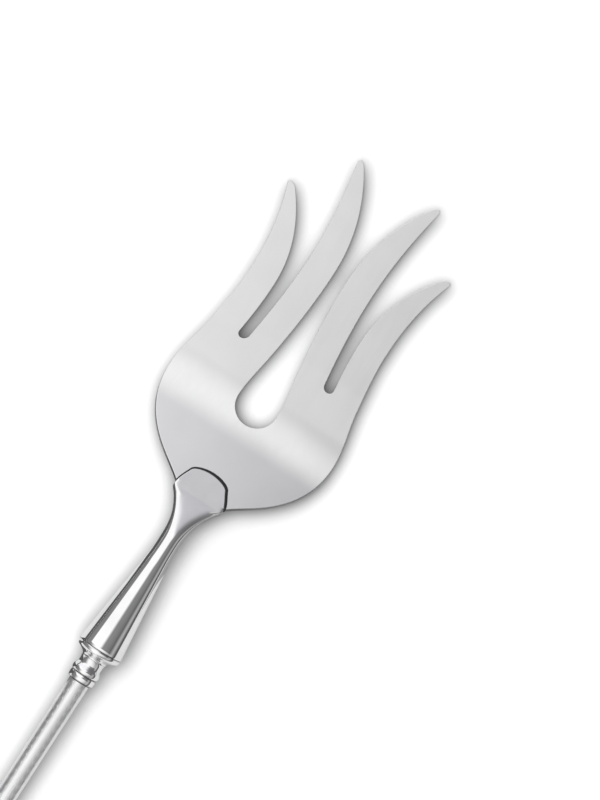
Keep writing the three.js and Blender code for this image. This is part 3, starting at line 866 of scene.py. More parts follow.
@dataclass(frozen=True)
class ForkHead:
    """Stamped and bent plate with four flared tines, two side slots and a teardrop slot."""

    plate: float = 1.8
    tip_thickness: float = 1.0
    thinning_reach: float = 45.0
    palm_crown: float = 0.38
    tine_crown: float = 0.12
    root_edge_rounding: float = 0.34
    edge_rounding: float = 0.1
    under_rounding: float = 0.3
    root_width: float = 14.9
    root_slope: float = 1.2
    shoulder_reach: float = 5.0
    shoulder_width: float = 29.0
    shoulder_slope: float = 1.38
    palm_reach: float = 25.0
    palm_width: float = 50.9
    flank_fullness: float = 0.36
    waist_reach: float = 57.0
    waist_width: float = 42.4
    outer_tip_reach: float = 82.4
    outer_tip_width: float = 51.2
    outer_tip_flare: float = 0.4
    slot_reach: float = 40.7
    slot_width: float = 2.9
    slot_spacing: float = 26.9
    slot_lean: float = -0.145
    outer_tine_width: float = 7.6
    outer_tip_blade: float = 2.0
    outer_blade_sweep: float = 0.85
    inner_tine_span: float = 19.5
    inner_tip_reach: float = 96.9
    inner_tip_span: float = 25.8
    inner_tip_flare: float = 0.2
    inner_tip_blade: float = 1.6
    inner_blade_sweep: float = 0.7
    teardrop_reach: float = 21.9
    teardrop_width: float = 11.6
    teardrop_fullness: float = 0.57
    teardrop_taper: float = -0.14
    throat_reach: float = 68.0
    throat_width: float = 3.9
    tip_rounding: float = 0.9
    tail_length: float = 6.5
    tail_width: float = 9.6
    tail_end_width: float = 3.6
    tail_shoulder: float = 0.8
    spacing: float = 0.4
    grid: float = 0.9
    tail_steps: int = 3
    shoulder_steps: int = 6
    tip_steps: int = 9
    slot_steps: int = 10
    foot_steps: int = 20
    top_edge_steps: int = 7
    under_edge_steps: int = 4
    normal_step: float = 0.05
    # Darkening of the rounded edge near the root and on the outer tips, a painted dark reflection.
    root_edge_shade: float = 0.9
    root_edge_shade_fade: float = 5.0
    tip_edge_shade: float = 0.8
    tip_edge_shade_length: float = 9.0
    tip_edge_shade_fade: float = 6.0
    tip_edge_shade_lean: float = 3.0
    stain_and_shade_edge: tuple[float, float] = (0.2, 0.6)

    def half_outline(self) -> np.ndarray:
        """Right half of the plan, from the middle of the tail to the foot of the teardrop.

        Returns:
            Rows of (across, reach).
        """
        taper = (self.tail_width - self.tail_end_width) / 2 / self.tail_length
        flank_width = self.waist_width + (self.palm_width - self.waist_width) * self.flank_fullness
        outer = SmoothCurve(
            (-self.tail_length, self.tail_end_width / 2, taper),
            (-self.tail_shoulder, self.tail_width / 2, taper),
            (0, self.root_width / 2, self.root_slope),
            (self.shoulder_reach, self.shoulder_width / 2, self.shoulder_slope),
            (self.palm_reach, self.palm_width / 2, 0),
            ((self.palm_reach + self.waist_reach) / 2, flank_width / 2),
            (self.waist_reach, self.waist_width / 2, 0),
            (self.outer_tip_reach, self.outer_tip_width / 2, self.outer_tip_flare),
        )
        slot_outer = SmoothCurve(
            (self.slot_reach, (self.slot_spacing + self.slot_width) / 2, self.slot_lean),
            (self.waist_reach, self.waist_width / 2 - self.outer_tine_width, 0),
            (self.outer_tip_reach, self.outer_tip_width / 2 - self.outer_tip_blade,
             self.outer_blade_sweep),
        )
        slot_inner = SmoothCurve(
            (self.slot_reach, (self.slot_spacing - self.slot_width) / 2, self.slot_lean),
            (self.throat_reach, self.inner_tine_span / 2, 0),
            (self.inner_tip_reach, self.inner_tip_span / 2, self.inner_tip_flare),
        )
        teardrop_middle = self.teardrop_reach + self.teardrop_width / 2
        fullness = (self.teardrop_width - self.throat_width) * self.teardrop_fullness
        belly = self.throat_width + fullness
        inner = SmoothCurve(
            (teardrop_middle, self.teardrop_width / 2, 0),
            (self.slot_reach, belly / 2, self.teardrop_taper),
            (self.throat_reach, self.throat_width / 2, 0),
            (self.inner_tip_reach, self.inner_tip_span / 2 - self.inner_tip_blade,
             self.inner_blade_sweep),
        )

        def edge(curve: SmoothCurve, start: float, end: float) -> np.ndarray:
            """Points along an edge.

            Args:
                curve: the edge.
                start: reach of the first point.
                end: reach where it ends.

            Returns:
                Rows of (across, reach), the last left out.
            """
            steps = max(int(abs(end - start) / self.spacing), 2)
            reach = np.linspace(start, end, steps + 1)[:-1]
            return np.column_stack([curve(reach), reach])

        def round_end(low: SmoothCurve, high: SmoothCurve, end: float, depth: float,
                      steps: int) -> np.ndarray:
            """Points round an end between two edges.

            Args:
                low: the edge nearer the middle.
                high: the edge farther out.
                end: reach of the end.
                depth: length of the rounding.
                steps: number of steps on each side.

            Returns:
                Rows of (across, reach), from the high edge over to the low one.
            """
            angle = np.linspace(math.pi / 2, -math.pi / 2, 2 * steps + 1)
            reach = end - depth * (1 - np.cos(angle))
            middle, half = (low(reach) + high(reach)) / 2, (high(reach) - low(reach)) / 2
            return np.column_stack([middle + half * np.sin(angle), reach])

        rounding, slot_end = self.tip_rounding, self.slot_width / 2
        angle = np.linspace(math.pi / 2, 0, self.foot_steps + 1)
        foot_reach = self.teardrop_reach + self.teardrop_width / 2 * (1 - np.cos(angle))
        tail_across = np.linspace(0, self.tail_end_width / 2, self.tail_steps + 1)[:-1]
        root_reach = np.linspace(-self.tail_shoulder, 0, self.shoulder_steps + 1)[:-1]
        return np.vstack([
            np.column_stack([tail_across, np.full(self.tail_steps, -self.tail_length)]),
            edge(outer, -self.tail_length, -self.tail_shoulder),
            np.column_stack([outer(root_reach), root_reach]),
            edge(outer, 0, self.outer_tip_reach - rounding),
            round_end(slot_outer, outer, self.outer_tip_reach, rounding, self.tip_steps),
            edge(slot_outer, self.outer_tip_reach - rounding, self.slot_reach + slot_end)[1:],
            round_end(slot_inner, slot_outer, self.slot_reach, -slot_end, self.slot_steps),
            edge(slot_inner, self.slot_reach + slot_end, self.inner_tip_reach - rounding)[1:],
            round_end(inner, slot_inner, self.inner_tip_reach, rounding, self.tip_steps),
            edge(inner, self.inner_tip_reach - rounding, teardrop_middle)[1:],
            np.column_stack([inner(foot_reach) * np.sin(angle), foot_reach]),
        ])

    def outline(self) -> np.ndarray:
        """The whole plan, as rows of (across, reach) round its edge."""
        half = self.half_outline()
        return np.vstack([half, half[-2:0:-1] * (-1, 1)])

    def face_height(self, plan: np.ndarray) -> np.ndarray:
        """Height of the face above the middle line.

        Args:
            plan: rows of (across, reach).

        Returns:
            One height for each row.
        """
        across, reach = plan.T
        crown = SmoothCurve((self.shoulder_reach, self.palm_crown, 0),
                            (self.slot_reach, self.tine_crown, 0))
        thinning = (self.plate - self.tip_thickness) / (self.inner_tip_reach - self.thinning_reach)
        thinned = np.maximum(reach - self.thinning_reach, 0) * thinning
        return self.plate / 2 - thinned - crown(reach) * (across / (self.palm_width / 2)) ** 2

    def face_normal(self, plan: np.ndarray) -> np.ndarray:
        """Direction that the face looks in.

        Args:
            plan: rows of (across, reach).

        Returns:
            Rows of (across, along, up), not of unit length.
        """
        step = self.normal_step
        fall_across, fall_along = (
            (self.face_height(plan - shift) - self.face_height(plan + shift)) / (2 * step)
            for shift in np.array([(step, 0), (0, step)])
        )
        return np.column_stack([fall_across, fall_along, np.ones(len(plan))])

    def edge_shade_depth(self, points: np.ndarray) -> np.ndarray:
        """Depth of the painted dark reflection on the plate's edge: deep at the root, less on the
        outer tips.

        Args:
            points: rows of (across, reach, height).

        Returns:
            One depth for each row.
        """
        across, reach = np.abs(points[:, 0]), points[:, 1]
        root_end = self.palm_reach + self.root_edge_shade_fade
        at_root = 1 - smooth_step(reach, self.palm_reach / 2, root_end)
        tip_start = self.outer_tip_reach - self.tip_edge_shade_length
        at_tips = smooth_step(reach, tip_start, tip_start + self.tip_edge_shade_fade)
        tine_middle = (self.outer_tip_width - self.outer_tip_blade) / 2
        at_tips *= across > tine_middle - (self.outer_tip_reach - reach) / self.tip_edge_shade_lean
        return self.root_edge_shade * np.maximum(at_root, self.tip_edge_shade * at_tips)

    def build(self, spine: Spine, material: Material) -> Object:
        """Makes the plate with rounded edges and exact shading normals.

        Args:
            spine: bends the plate.
            material: its finish.

        Returns:
            The piece.
        """
        outline = self.outline()
        side = outward(outline, closed=True)
        flat_side = np.column_stack([side, np.zeros(len(side))])
        face_normal = self.face_normal(outline)
        rounding = SmoothCurve((self.palm_reach / 2, self.root_edge_rounding, 0),
                               (self.palm_reach, self.edge_rounding, 0))(outline[:, 1])
        underside = -self.plate / 2
        draft = Draft()
        rings, normals, edges = [], [], []

        def add_ring(plan: np.ndarray, height: np.ndarray, normal: np.ndarray,
                     angle: float) -> None:
            """Adds one ring of the rounded edge.

            Args:
                plan: rows of (across, reach).
                height: height of each row.
                normal: direction that each row looks in.
                angle: how far the ring has turned from sideways.
            """
            rings.append(draft.add(np.column_stack([plan, height])))
            normals.append(normal)
            edges.append(np.full(len(plan), math.cos(angle)))

        for angle in np.radians(np.linspace(90, 0, self.top_edge_steps + 1)):
            plan = outline - side * (rounding * (1 - math.cos(angle)))[:, None]
            height = self.face_height(plan) - rounding * (1 - math.sin(angle))
            normal = flat_side * math.cos(angle) + face_normal * math.sin(angle)
            add_ring(plan, height, normal, angle)
        for angle in np.radians(np.linspace(0, 90, self.under_edge_steps + 1)):
            plan = outline - side * self.under_rounding * (1 - math.cos(angle))
            height = np.full(len(plan), underside + self.under_rounding * (1 - math.sin(angle)))
            normal = flat_side * math.cos(angle) - (0, 0, math.sin(angle))
            add_ring(plan, height, normal, angle)
        draft.loft(rings, closed=True)
        above = draft.fill(rings[0], self.grid, self.face_height)
        below = draft.fill(rings[-1], self.grid, lambda plan: np.full(len(plan), underside),
                           upward=False)
        normals.append(self.face_normal(draft.drawn(above)[:, :2]))
        normals.append(np.tile((0.0, 0.0, -1.0), (len(below), 1)))
        points = np.array(draft.points)
        edge = np.concatenate([*edges, np.zeros(len(above) + len(below))])
        piece = draft.make("fork_head_plate", spine, material)
        turned = spine.turn(np.vstack(normals), points[:, 1])
        piece.data.normals_split_custom_set_from_vertices(turned)
        mark(piece.data, "edge", edge)
        # Painted shade: the rounded edge is darkened near the root and on the outer tips, as a dark
        # reflection painted into its colour.
        mark(piece.data, "stain", smooth_step(edge, *self.stain_and_shade_edge) * self.edge_shade_depth(points))
        return settle(piece, "polished_stainless", "fork_head")


@dataclass(frozen=True)
class NeckSleeve:
    """Tapered tube, its small end pressed flat into a jaw with a tongue-shaped lip on each face."""

    head: ForkHead
    length: float = 47.7
    wall: float = 0.8
    mouth_diameter: float = 12.6
    cone_reach: float = -20.0
    cone_diameter: float = 6.44
    neck_reach: float = -14.4
    neck_diameter: float = 5.9
    jaw_flare: float = 2.6
    jaw_width: float = 14.7
    jaw_reach: float = -1.2
    jaw_half_height: float = 1.8
    jaw_squareness: float = 8.0
    jaw_squaring: float = 2.0
    lip_squareness: float = 26.0
    lip_start: float = -3.0
    seat: float = 0.93
    lip_rounding: float = 0.2
    lip_blend: float = 0.9
    lip_spread: float = 8.0
    # Darkening of the lips' edges: tarnish, with painted shade that deepens towards the right.
    lip_stain_and_shade: float = 0.9
    lip_inset: float = 0.42
    lip_shift: float = -0.2
    tongue_reach: float = 6.4
    tongue_corner_width: float = 11.3
    tongue_corner_reach: float = 4.5
    tongue_corner_rounding: float = 1.8
    hollow_reach: float = -24.0
    mouth_rounding: float = 0.3
    mouth_stain: float = 0.35
    mouth_stain_edge: tuple[float, float] = (0.5, 0.85)
    tail_room: float = 0.12
    wall_steps: int = 2
    crown_steps: int = 26
    cone_end: float = -22.0
    cone_rows: int = 26
    jaw_rows: int = 62
    nose_rows: int = 8
    rise_steps: int = 40
    arch_steps: int = 26
    tongue_start: float = 0.12
    width_samples: int = 2001
    width_end: float = 1.0
    ease_samples: int = 35
    ease_start: float = 1.0
    ease_end: float = 0.4
    lip_rings: int = 17
    lip_wall_steps: int = 3
    lip_arc_steps: int = 10
    lip_run: float = 1.6
    lip_turn: float = 3.6
    lip_stain_and_shade_edge: tuple[float, float] = (0.5, 1.4)
    lip_stain_and_shade_least: float = 0.4
    lip_grid: float = 0.5
    pocket_grid: float = 1.2
    sharp_angle: float = math.radians(42)
    # The braze run is a dark joint, thin on the left; its extra thickness towards the right is
    # painted shade.
    seam_thin: float = 0.22
    seam_thick: float = 0.42
    seam_front: float = 0.2
    seam_out: float = 0.35
    seam_edge: tuple[float, float] = (-0.55, 0.25)
    seam_skip: int = 2
    seam_sides: int = 10

    @property
    def mouth_reach(self) -> float:
        """Reach of the mouth, where the handle's axis starts."""
        return -self.length

    def cone_half(self, reach: np.ndarray | float) -> np.ndarray:
        """Half width of the round cone and neck."""
        taper = (self.cone_diameter - self.mouth_diameter) / 2 / (self.cone_reach + self.length)
        return SmoothCurve(
            (-self.length, self.mouth_diameter / 2, taper),
            (self.cone_reach, self.cone_diameter / 2, taper),
            (self.neck_reach, self.neck_diameter / 2, 0),
        )(reach)

    def lip_outline(self) -> np.ndarray:
        """Right half of the lip in plan, from the jaw's corner to the top of the tongue.

        Returns:
            Rows of (across, reach).
        """
        jaw, corner = self.jaw_width / 2, self.tongue_corner_width / 2
        rounding, corner_reach = self.tongue_corner_rounding, self.tongue_corner_reach
        rise = bezier([
            (jaw, self.jaw_reach), (jaw, 0),
            (corner + rounding / 2, corner_reach - rounding), (corner, corner_reach),
        ], self.rise_steps)
        arch = bezier([
            (corner, corner_reach), (corner - rounding / 4, corner_reach + rounding / 2),
            (corner / 2, self.tongue_reach), (0, self.tongue_reach),
        ], self.arch_steps)
        return np.vstack([rise, arch[1:]])

    def tongue_outline(self) -> np.ndarray:
        """Plan of a lip beyond the shoulder line, from right to left, as it was filed and fitted.

        Returns:
            Rows of (across, reach).
        """
        right = self.lip_outline()
        right = right[right[:, 1] > self.tongue_start]
        outline = np.vstack([right, right[-2::-1] * (-1, 1)])
        beyond = smooth_step(outline[:, 1], 0, self.tongue_corner_reach)[:, None]
        filed = outward(outline, closed=False) * self.lip_inset
        return outline + beyond * ((self.lip_shift, 0) - filed)

    def half_width(self, reach: np.ndarray | float) -> np.ndarray:
        """Half width in plan up to the shoulder line, eased where the flare meets the lip.

        Args:
            reach: one reach or an array of them.

        Returns:
            The half width at each.
        """
        outline = self.lip_outline()
        fine = np.linspace(-self.length, self.width_end, self.width_samples)
        towards_jaw = np.clip((fine - self.neck_reach) / (self.jaw_reach - self.neck_reach), 0, 1)
        flare = (self.jaw_width - self.neck_diameter) / 2 * towards_jaw**self.jaw_flare
        width = np.where(fine < self.jaw_reach, self.cone_half(fine) + flare,
                         np.interp(fine, outline[:, 1], outline[:, 0]))
        ease = np.hanning(self.ease_samples)
        padded = np.pad(width, self.ease_samples // 2, mode="edge")
        eased = np.convolve(padded, ease / ease.sum(), "valid")
        near_jaw = smooth_step(fine, self.neck_reach, self.jaw_reach - self.ease_start)
        near_jaw *= 1 - smooth_step(fine, -self.ease_end, 0)
        return np.interp(reach, fine, width + (eased - width) * near_jaw)

    def angles(self) -> np.ndarray:
        """Section angles from side to side over the top, with one at the plate's face.

        Returns:
            Angles in radians of the upper half, both sides included.
        """
        seat_angle = math.asin((self.seat / self.jaw_half_height) ** (self.lip_squareness / 2))
        quarter = np.concatenate([
            np.linspace(0, seat_angle, self.wall_steps + 1)[:-1],
            np.linspace(seat_angle, math.pi / 2, self.crown_steps + 1),
        ])
        return np.concatenate([quarter, math.pi - quarter[-2::-1]])

    def section(self, reach: float, angle: np.ndarray) -> np.ndarray:
        """One ring of the outside.

        Args:
            reach: where it is.
            angle: section angle of each point.

        Returns:
            Rows of (across, reach, height).
        """
        pressed = smooth_step(reach, self.neck_reach, self.jaw_reach)
        height = self.cone_half(reach) * (1 - pressed) + self.jaw_half_height * pressed
        towards_jaw = np.clip((reach - self.neck_reach) / (self.jaw_reach - self.neck_reach), 0, 1)
        squareness = 2 + (self.jaw_squareness - 2) * towards_jaw**self.jaw_squaring
        squareness += (self.lip_squareness - squareness) * smooth_step(reach, self.lip_start, 0)
        power = 2 / squareness
        across = np.sign(np.cos(angle)) * np.abs(np.cos(angle)) ** power
        up = np.sign(np.sin(angle)) * np.abs(np.sin(angle)) ** power
        along = np.full(len(angle), reach)
        return np.column_stack([self.half_width(reach) * across, along, height * up])

    def face_height(self, plan: np.ndarray) -> np.ndarray:
        """Height of a lip's face: the jaw's crowned section, which flattens towards the tongue.

        Args:
            plan: rows of (across, reach) in front of the shoulder line.

        Returns:
            Heights above the middle line.
        """
        width = self.half_width(0.0) + self.lip_spread * np.maximum(plan[:, 1], 0) ** 2
        part = np.clip(np.abs(plan[:, 0]) / width, 0, 1)
        return self.jaw_half_height * (1 - part**self.lip_squareness) ** (1 / self.lip_squareness)

    def lip_profile(self) -> tuple[np.ndarray, np.ndarray, np.ndarray]:
        """Rounded edge of a lip, from the plate's face up and inwards.

        Returns:
            Inset of each step from the outline, its drop below the face, and its share of tarnish
            and painted shade.
        """
        rounding, upright, arc = self.lip_rounding, self.lip_wall_steps, self.lip_arc_steps
        turn = np.linspace(0, math.pi / 2, arc + 1)
        run = np.linspace(rounding, self.lip_run * rounding, self.lip_rings - upright - arc)[1:]
        wall = np.linspace(self.jaw_half_height - self.seat, rounding, upright + 1)[:-1]
        inset = np.concatenate([np.zeros(upright), rounding * (1 - np.cos(turn)), run])
        drop = np.concatenate([wall, rounding * (1 - np.sin(turn)), np.zeros(len(run))])
        clean_from, clean_to = self.lip_stain_and_shade_edge
        return inset, drop, 1 - smooth_step(inset, clean_from * rounding, clean_to * rounding)

    def build(self, spine: Spine, material: Material) -> Object:
        """Makes the tube, its jaw and lips, the pocket for the head's tail and the hollow mouth.

        Args:
            spine: bends the piece.
            material: its finish.

        Returns:
            The piece.
        """
        draft = Draft()
        upper = self.angles()
        angle = np.concatenate([upper, -upper[-2:0:-1]])
        reaches = np.concatenate([
            np.linspace(-self.length, self.cone_end, self.cone_rows + 1)[:-1],
            np.linspace(self.cone_end, self.jaw_reach, self.jaw_rows + 1)[:-1],
            np.linspace(self.jaw_reach, 0, self.nose_rows + 1),
        ])
        reaches[0] += self.mouth_rounding
        rows = [draft.add(self.section(reach, angle)) for reach in reaches]
        draft.loft(rows, closed=True)
        self.close_mouth(draft, rows[0], angle)
        last = rows[-1]
        top = last[:len(upper)]
        bottom = [last[0], *reversed(last[len(upper):]), top[-1]]
        ceiling = self.add_lip(draft, top, Side.FRONT)
        floor = self.add_lip(draft, bottom, Side.BACK)
        self.add_pocket(draft, top, bottom, ceiling, floor)
        piece = draft.make("neck_sleeve_tube", spine, material, self.sharp_angle)
        return settle(piece, "bright_plate", "neck_sleeve")

    def close_mouth(self, draft: Draft, first: list[int], angle: np.ndarray) -> None:
        """Adds the rounded rim and the hollow of the wide end.

        Args:
            draft: the piece.
            first: its first ring.
            angle: section angle of each point.
        """
        radius = float(self.cone_half(-self.length))
        circle = np.column_stack([np.cos(angle), np.zeros(len(angle)), np.sin(angle)])
        inner_end = float(self.cone_half(self.hollow_reach)) - self.wall
        rounding = self.mouth_rounding
        outline = (
            (radius - ROUNDED * rounding, -self.length + ROUNDED * rounding, self.mouth_stain),
            (radius - rounding, -self.length, self.mouth_stain),
            (radius - self.wall, -self.length, 0.0), (inner_end, self.hollow_reach, 0.0),
        )
        facing = 1 - smooth_step(np.abs(circle[:, 0]), *self.mouth_stain_edge)
        rings = [first]
        for ring_radius, reach, stain in outline:
            rings.append(draft.add(circle * ring_radius + (0, reach, 0), stain * facing))
        draft.loft(rings, closed=True)
        draft.fan(rings[-1], (0, self.hollow_reach, 0))

    def add_lip(self, draft: Draft, edge: list[int], side: Side) -> list[int]:
        """Adds one lip in front of the jaw.

        Args:
            draft: the piece.
            edge: half of the jaw's last ring on that side, from right to left.
            side: front or back.

        Returns:
            The lip's lowest ring, which lies on the plate, from right to left.
        """
        start, count = self.wall_steps, self.lip_rings
        flank = draft.drawn(edge[start:start + count])
        own_inset = flank[0, 0] - flank[:, 0]
        outline = self.tongue_outline()
        sideways = np.column_stack([np.sign(outline[:, 0]), np.zeros(len(outline))])
        beyond = smooth_step(outline[:, 1], 0, self.lip_turn)[:, None]
        normal = sideways * (1 - beyond) + outward(outline, closed=False) * beyond
        freed = smooth_step(outline[:, 1], 0, self.lip_blend)
        least = self.lip_stain_and_shade_least
        # Painted shade: the lip's edge is darkened with tarnish, and more towards the right, where
        # shade falls.
        stain = self.lip_stain_and_shade * freed * (least + (1 - least) * self.joint_and_shade_fullness(outline))
        rings = []
        for k, (inset, drop, tarnish_and_shade_share) in enumerate(zip(*self.lip_profile())):
            plan = outline - normal * (own_inset[k] * (1 - freed) + inset * freed)[:, None]
            height = np.maximum(self.face_height(plan) - drop * freed, self.seat)
            if k == 0:
                height[:] = self.seat
            ring = draft.add(np.column_stack([plan, side.value * height]), tarnish_and_shade_share * stain)
            rings.append([edge[start + k], *ring, edge[-1 - start - k]])
        draft.loft(rings)
        inner = edge[start + count - 1:len(edge) - start - count + 1]
        draft.fill([*rings[-1], *inner[-2:0:-1]], self.lip_grid,
                   lambda plan: side.value * self.face_height(plan), upward=side is Side.FRONT)
        return rings[0]

    def add_pocket(self, draft: Draft, top: list[int], bottom: list[int], ceiling: list[int],
                   floor: list[int]) -> None:
        """Adds the slot between the lips, with the pocket that holds the head's tail.

        Args:
            draft: the piece.
            top: upper half of the jaw's last ring, from right to left.
            bottom: lower half, from right to left.
            ceiling: lowest ring of the front lip.
            floor: lowest ring of the back lip.
        """
        head, room, steps = self.head, self.tail_room, self.wall_steps
        right = [(head.tail_width / 2 + room, -head.tail_shoulder - room),
                 (head.tail_end_width / 2 + room, -head.tail_length - room)]
        pocket = [*right, *[(-x, reach) for x, reach in reversed(right)]]
        first = [*top[steps:0:-1], *bottom[:steps + 1]]
        last = [*top[::-1][steps:0:-1], *bottom[::-1][:steps + 1]]
        heights = draft.drawn(first)[:, 2]
        inside = [
            draft.add(np.array([(*corner, height) for height in heights])) for corner in pocket
        ]
        columns = [first, *inside, last]
        draft.loft(columns)
        for ring, level, upward in ((ceiling, 0, False), (floor, -1, True)):
            back = [column[level] for column in reversed(inside)]
            draft.fill([*ring, *back], self.pocket_grid,
                       lambda plan, z=heights[level]: np.full(len(plan), z), upward=upward)

    def joint_and_shade_fullness(self, outline: np.ndarray) -> np.ndarray:
        """How full the joint and its painted shade are along a lip: 0 for a thin line at the left,
        1 for a thick one.
        """
        thin, thick = self.seam_edge
        return smooth_step(outline[:, 0], thin * self.jaw_width, thick * self.jaw_width)

    def build_seam(self, spine: Spine, recipe: Recipe, material: Material) -> Object:
        """Makes the dark run of braze round both lips and down the sides of the jaw, thicker
        towards the right as painted shade.

        Args:
            spine: bends the line.
            recipe: lays the run.
            material: its finish.

        Returns:
            The piece.
        """
        outline = self.tongue_outline()[::self.seam_skip]
        # Painted shade: the dark run grows thicker towards the right.
        radius = self.seam_thin + (self.seam_thick - self.seam_thin) * self.joint_and_shade_fullness(outline)
        side = outward(outline, closed=False)
        ahead = np.maximum(side[:, 1], 0)
        radius = radius + self.seam_front * ahead / 2
        outline = outline + side * (self.seam_out * radius + self.seam_front * ahead)[:, None]
        front = np.column_stack([outline, np.full(len(outline), self.seat)])
        back = front[::-1] * (1, 1, -1)
        line = spine.place(np.vstack([front, back])) * MM
        thickness = np.concatenate([radius, radius[::-1]])
        mesh = recipe.grow("jaw_braze_seam", line, ring_edges(len(line)), {"thickness": thickness},
                           Radius=MM, Sides=self.seam_sides, Finish=material)
        close_up(mesh)
        return settle(new_piece("jaw_braze_seam", mesh, material), "bright_plate")


@dataclass(frozen=True)
class TurnedKnob:
    """Shoulder ring and turned collar between the sleeve and the handle."""

    sleeve: NeckSleeve
    joint: float = 0.25
    hairline: float = 0.05
    band: float = 0.55
    band_rounding: float = 0.12
    rim_depth: float = 0.9
    rim_length: float = 1.2
    ring_length: float = 3.2
    foot_diameter: float = 7.2
    ring_spigot: float = 2.0
    edge_break: float = 0.1
    collar_length: float = 6.55
    waist_part: float = 0.22
    ball_part: float = 0.54
    groove_parts: tuple[float, float] = (0.68, 0.69)
    waist_diameter: float = 6.6
    ball_diameter: float = 7.9
    groove_diameter: float = 7.0
    bead_diameter: float = 7.5
    collar_spigot: float = 3.0
    ring_stain: float = 0.3
    collar_stain: float = 0.95
    stain_and_shade_edge: tuple[float, float] = (0.05, 0.35)
    shaft_thickness: float = 5.6
    handle_wall: float = 0.6
    tang_diameter: float = 2.4
    sides: int = 128

    @property
    def collar_station(self) -> float:
        """Station where the collar starts."""
        return self.ring_length + self.joint

    @property
    def collar_end(self) -> float:
        """Station where the collar ends."""
        return self.collar_station + self.collar_length

    @property
    def handle_station(self) -> float:
        """Station where the handle starts."""
        return self.collar_end + self.joint

    def collar_at(self, part: float) -> float:
        """Station at a part of the collar's length."""
        return self.collar_station + part * self.collar_length

    def ring_profile(self) -> np.ndarray:
        """Closed profile of the shoulder ring.

        Returns:
            Rows of (radius, station).
        """
        bore = self.tang_diameter / 2 + self.joint
        band, foot = self.sleeve.mouth_diameter / 2, self.foot_diameter / 2
        soft = self.band_rounding
        spigot = band - self.sleeve.wall - self.joint
        start, depth, length = self.band, self.rim_depth, self.rim_length
        under, below = band - depth, start + length
        rest = self.ring_length - below
        # The controls of each curve are set as shares of its own depth and length.
        rim = bezier([
            (band, start), (band, start + 0.45 * length),
            (band - 0.3 * depth, start + 0.75 * length), (under, below),
        ], steps=12)
        cove = bezier([
            (under, below), (foot + 0.45 * (under - foot), below + 0.4 * rest),
            (foot, below + 0.6 * rest), (foot, self.ring_length),
        ], steps=14)
        return np.vstack([
            [(bore, -self.ring_spigot), (spigot - self.edge_break, -self.ring_spigot)],
            [(spigot, self.hairline), (band - soft, self.hairline)],
            [(band - ROUNDED * soft, self.hairline + ROUNDED * soft), (band, self.hairline + soft)],
            rim,
            cove[1:],
            [(bore, self.ring_length)],
        ])

    def collar_profile(self) -> np.ndarray:
        """Closed profile of the turned collar.

        Returns:
            Rows of (radius, station).
        """
        at, end = self.collar_at, self.collar_end
        bore, foot = self.tang_diameter / 2 + self.joint, self.foot_diameter / 2
        waist, ball = self.waist_diameter / 2, self.ball_diameter / 2
        groove, bead = self.groove_diameter / 2, self.bead_diameter / 2
        spigot = self.shaft_thickness / 2 - self.handle_wall - self.joint
        start, soft = self.ring_length + self.hairline, self.edge_break
        waist_end, ball_middle = at(self.waist_part), at(self.ball_part)
        groove_start, groove_end = (at(part) for part in self.groove_parts)
        # The controls of each curve are set as parts of the collar's length.
        return np.vstack([
            [(bore, start), (foot - soft, start)],
            bezier([(foot, start + soft), (waist + 0.1, at(0.04)), (waist, at(0.1)),
                    (waist, waist_end)], steps=12),
            bezier([(waist, waist_end), (waist, at(0.36)), (ball, at(0.38)),
                    (ball, ball_middle)], steps=14)[1:],
            bezier([(ball, ball_middle), (ball, at(0.64)), (groove + 0.15, at(0.67)),
                    (groove, groove_start)], steps=10)[1:],
            bezier([(groove, groove_end), (bead + 0.05, at(0.71)), (bead + 0.05, at(0.96)),
                    (groove, end)], steps=14),
            [(spigot, end), (spigot, end + self.collar_spigot), (bore, end + self.collar_spigot)],
        ])

    def build(self, spine: Spine, recipe: Recipe, material: Material) -> list[Object]:
        """Turns both pieces.

        Args:
            spine: puts them on the handle's axis.
            recipe: the lathe.
            material: their finish.

        Returns:
            The ring and the collar.
        """
        groove = self.collar_at(sum(self.groove_parts) / 2)
        pieces = (
            ("shoulder_ring", self.ring_profile(), self.ring_stain, (self.hairline,)),
            ("turned_collar", self.collar_profile(), self.collar_stain, (groove, self.collar_end)),
        )
        made = []
        for node, profile, stain, joints in pieces:
            # The sweep sets a profile's first axis out from a circle of radius 1.
            # Its second axis points downwards.
            line = np.column_stack([profile[:, 0] - 1, -profile[:, 1], np.zeros(len(profile))])
            mesh = recipe.grow(node + "_turned", line, ring_edges(len(line)), Sides=self.sides,
                               Finish=material)
            across, up, station = np.array([point.co for point in mesh.vertices]).T
            reach = spine.handle_reach(self.sleeve.mouth_reach, station)
            placed = spine.place(np.column_stack([across, reach, up])) * MM
            mesh.vertices.foreach_set("co", placed.astype(np.float32).ravel())
            nearest = np.min([np.abs(station - joint) for joint in joints], axis=0)
            mark(mesh, "stain", stain * (1 - smooth_step(nearest, *self.stain_and_shade_edge)))
            close_up(mesh)
            mesh.set_sharp_from_angle(angle=SHARP_ANGLE)
            made.append(settle(new_piece(node + "_turned", mesh, material), "bright_plate", node))
        return made


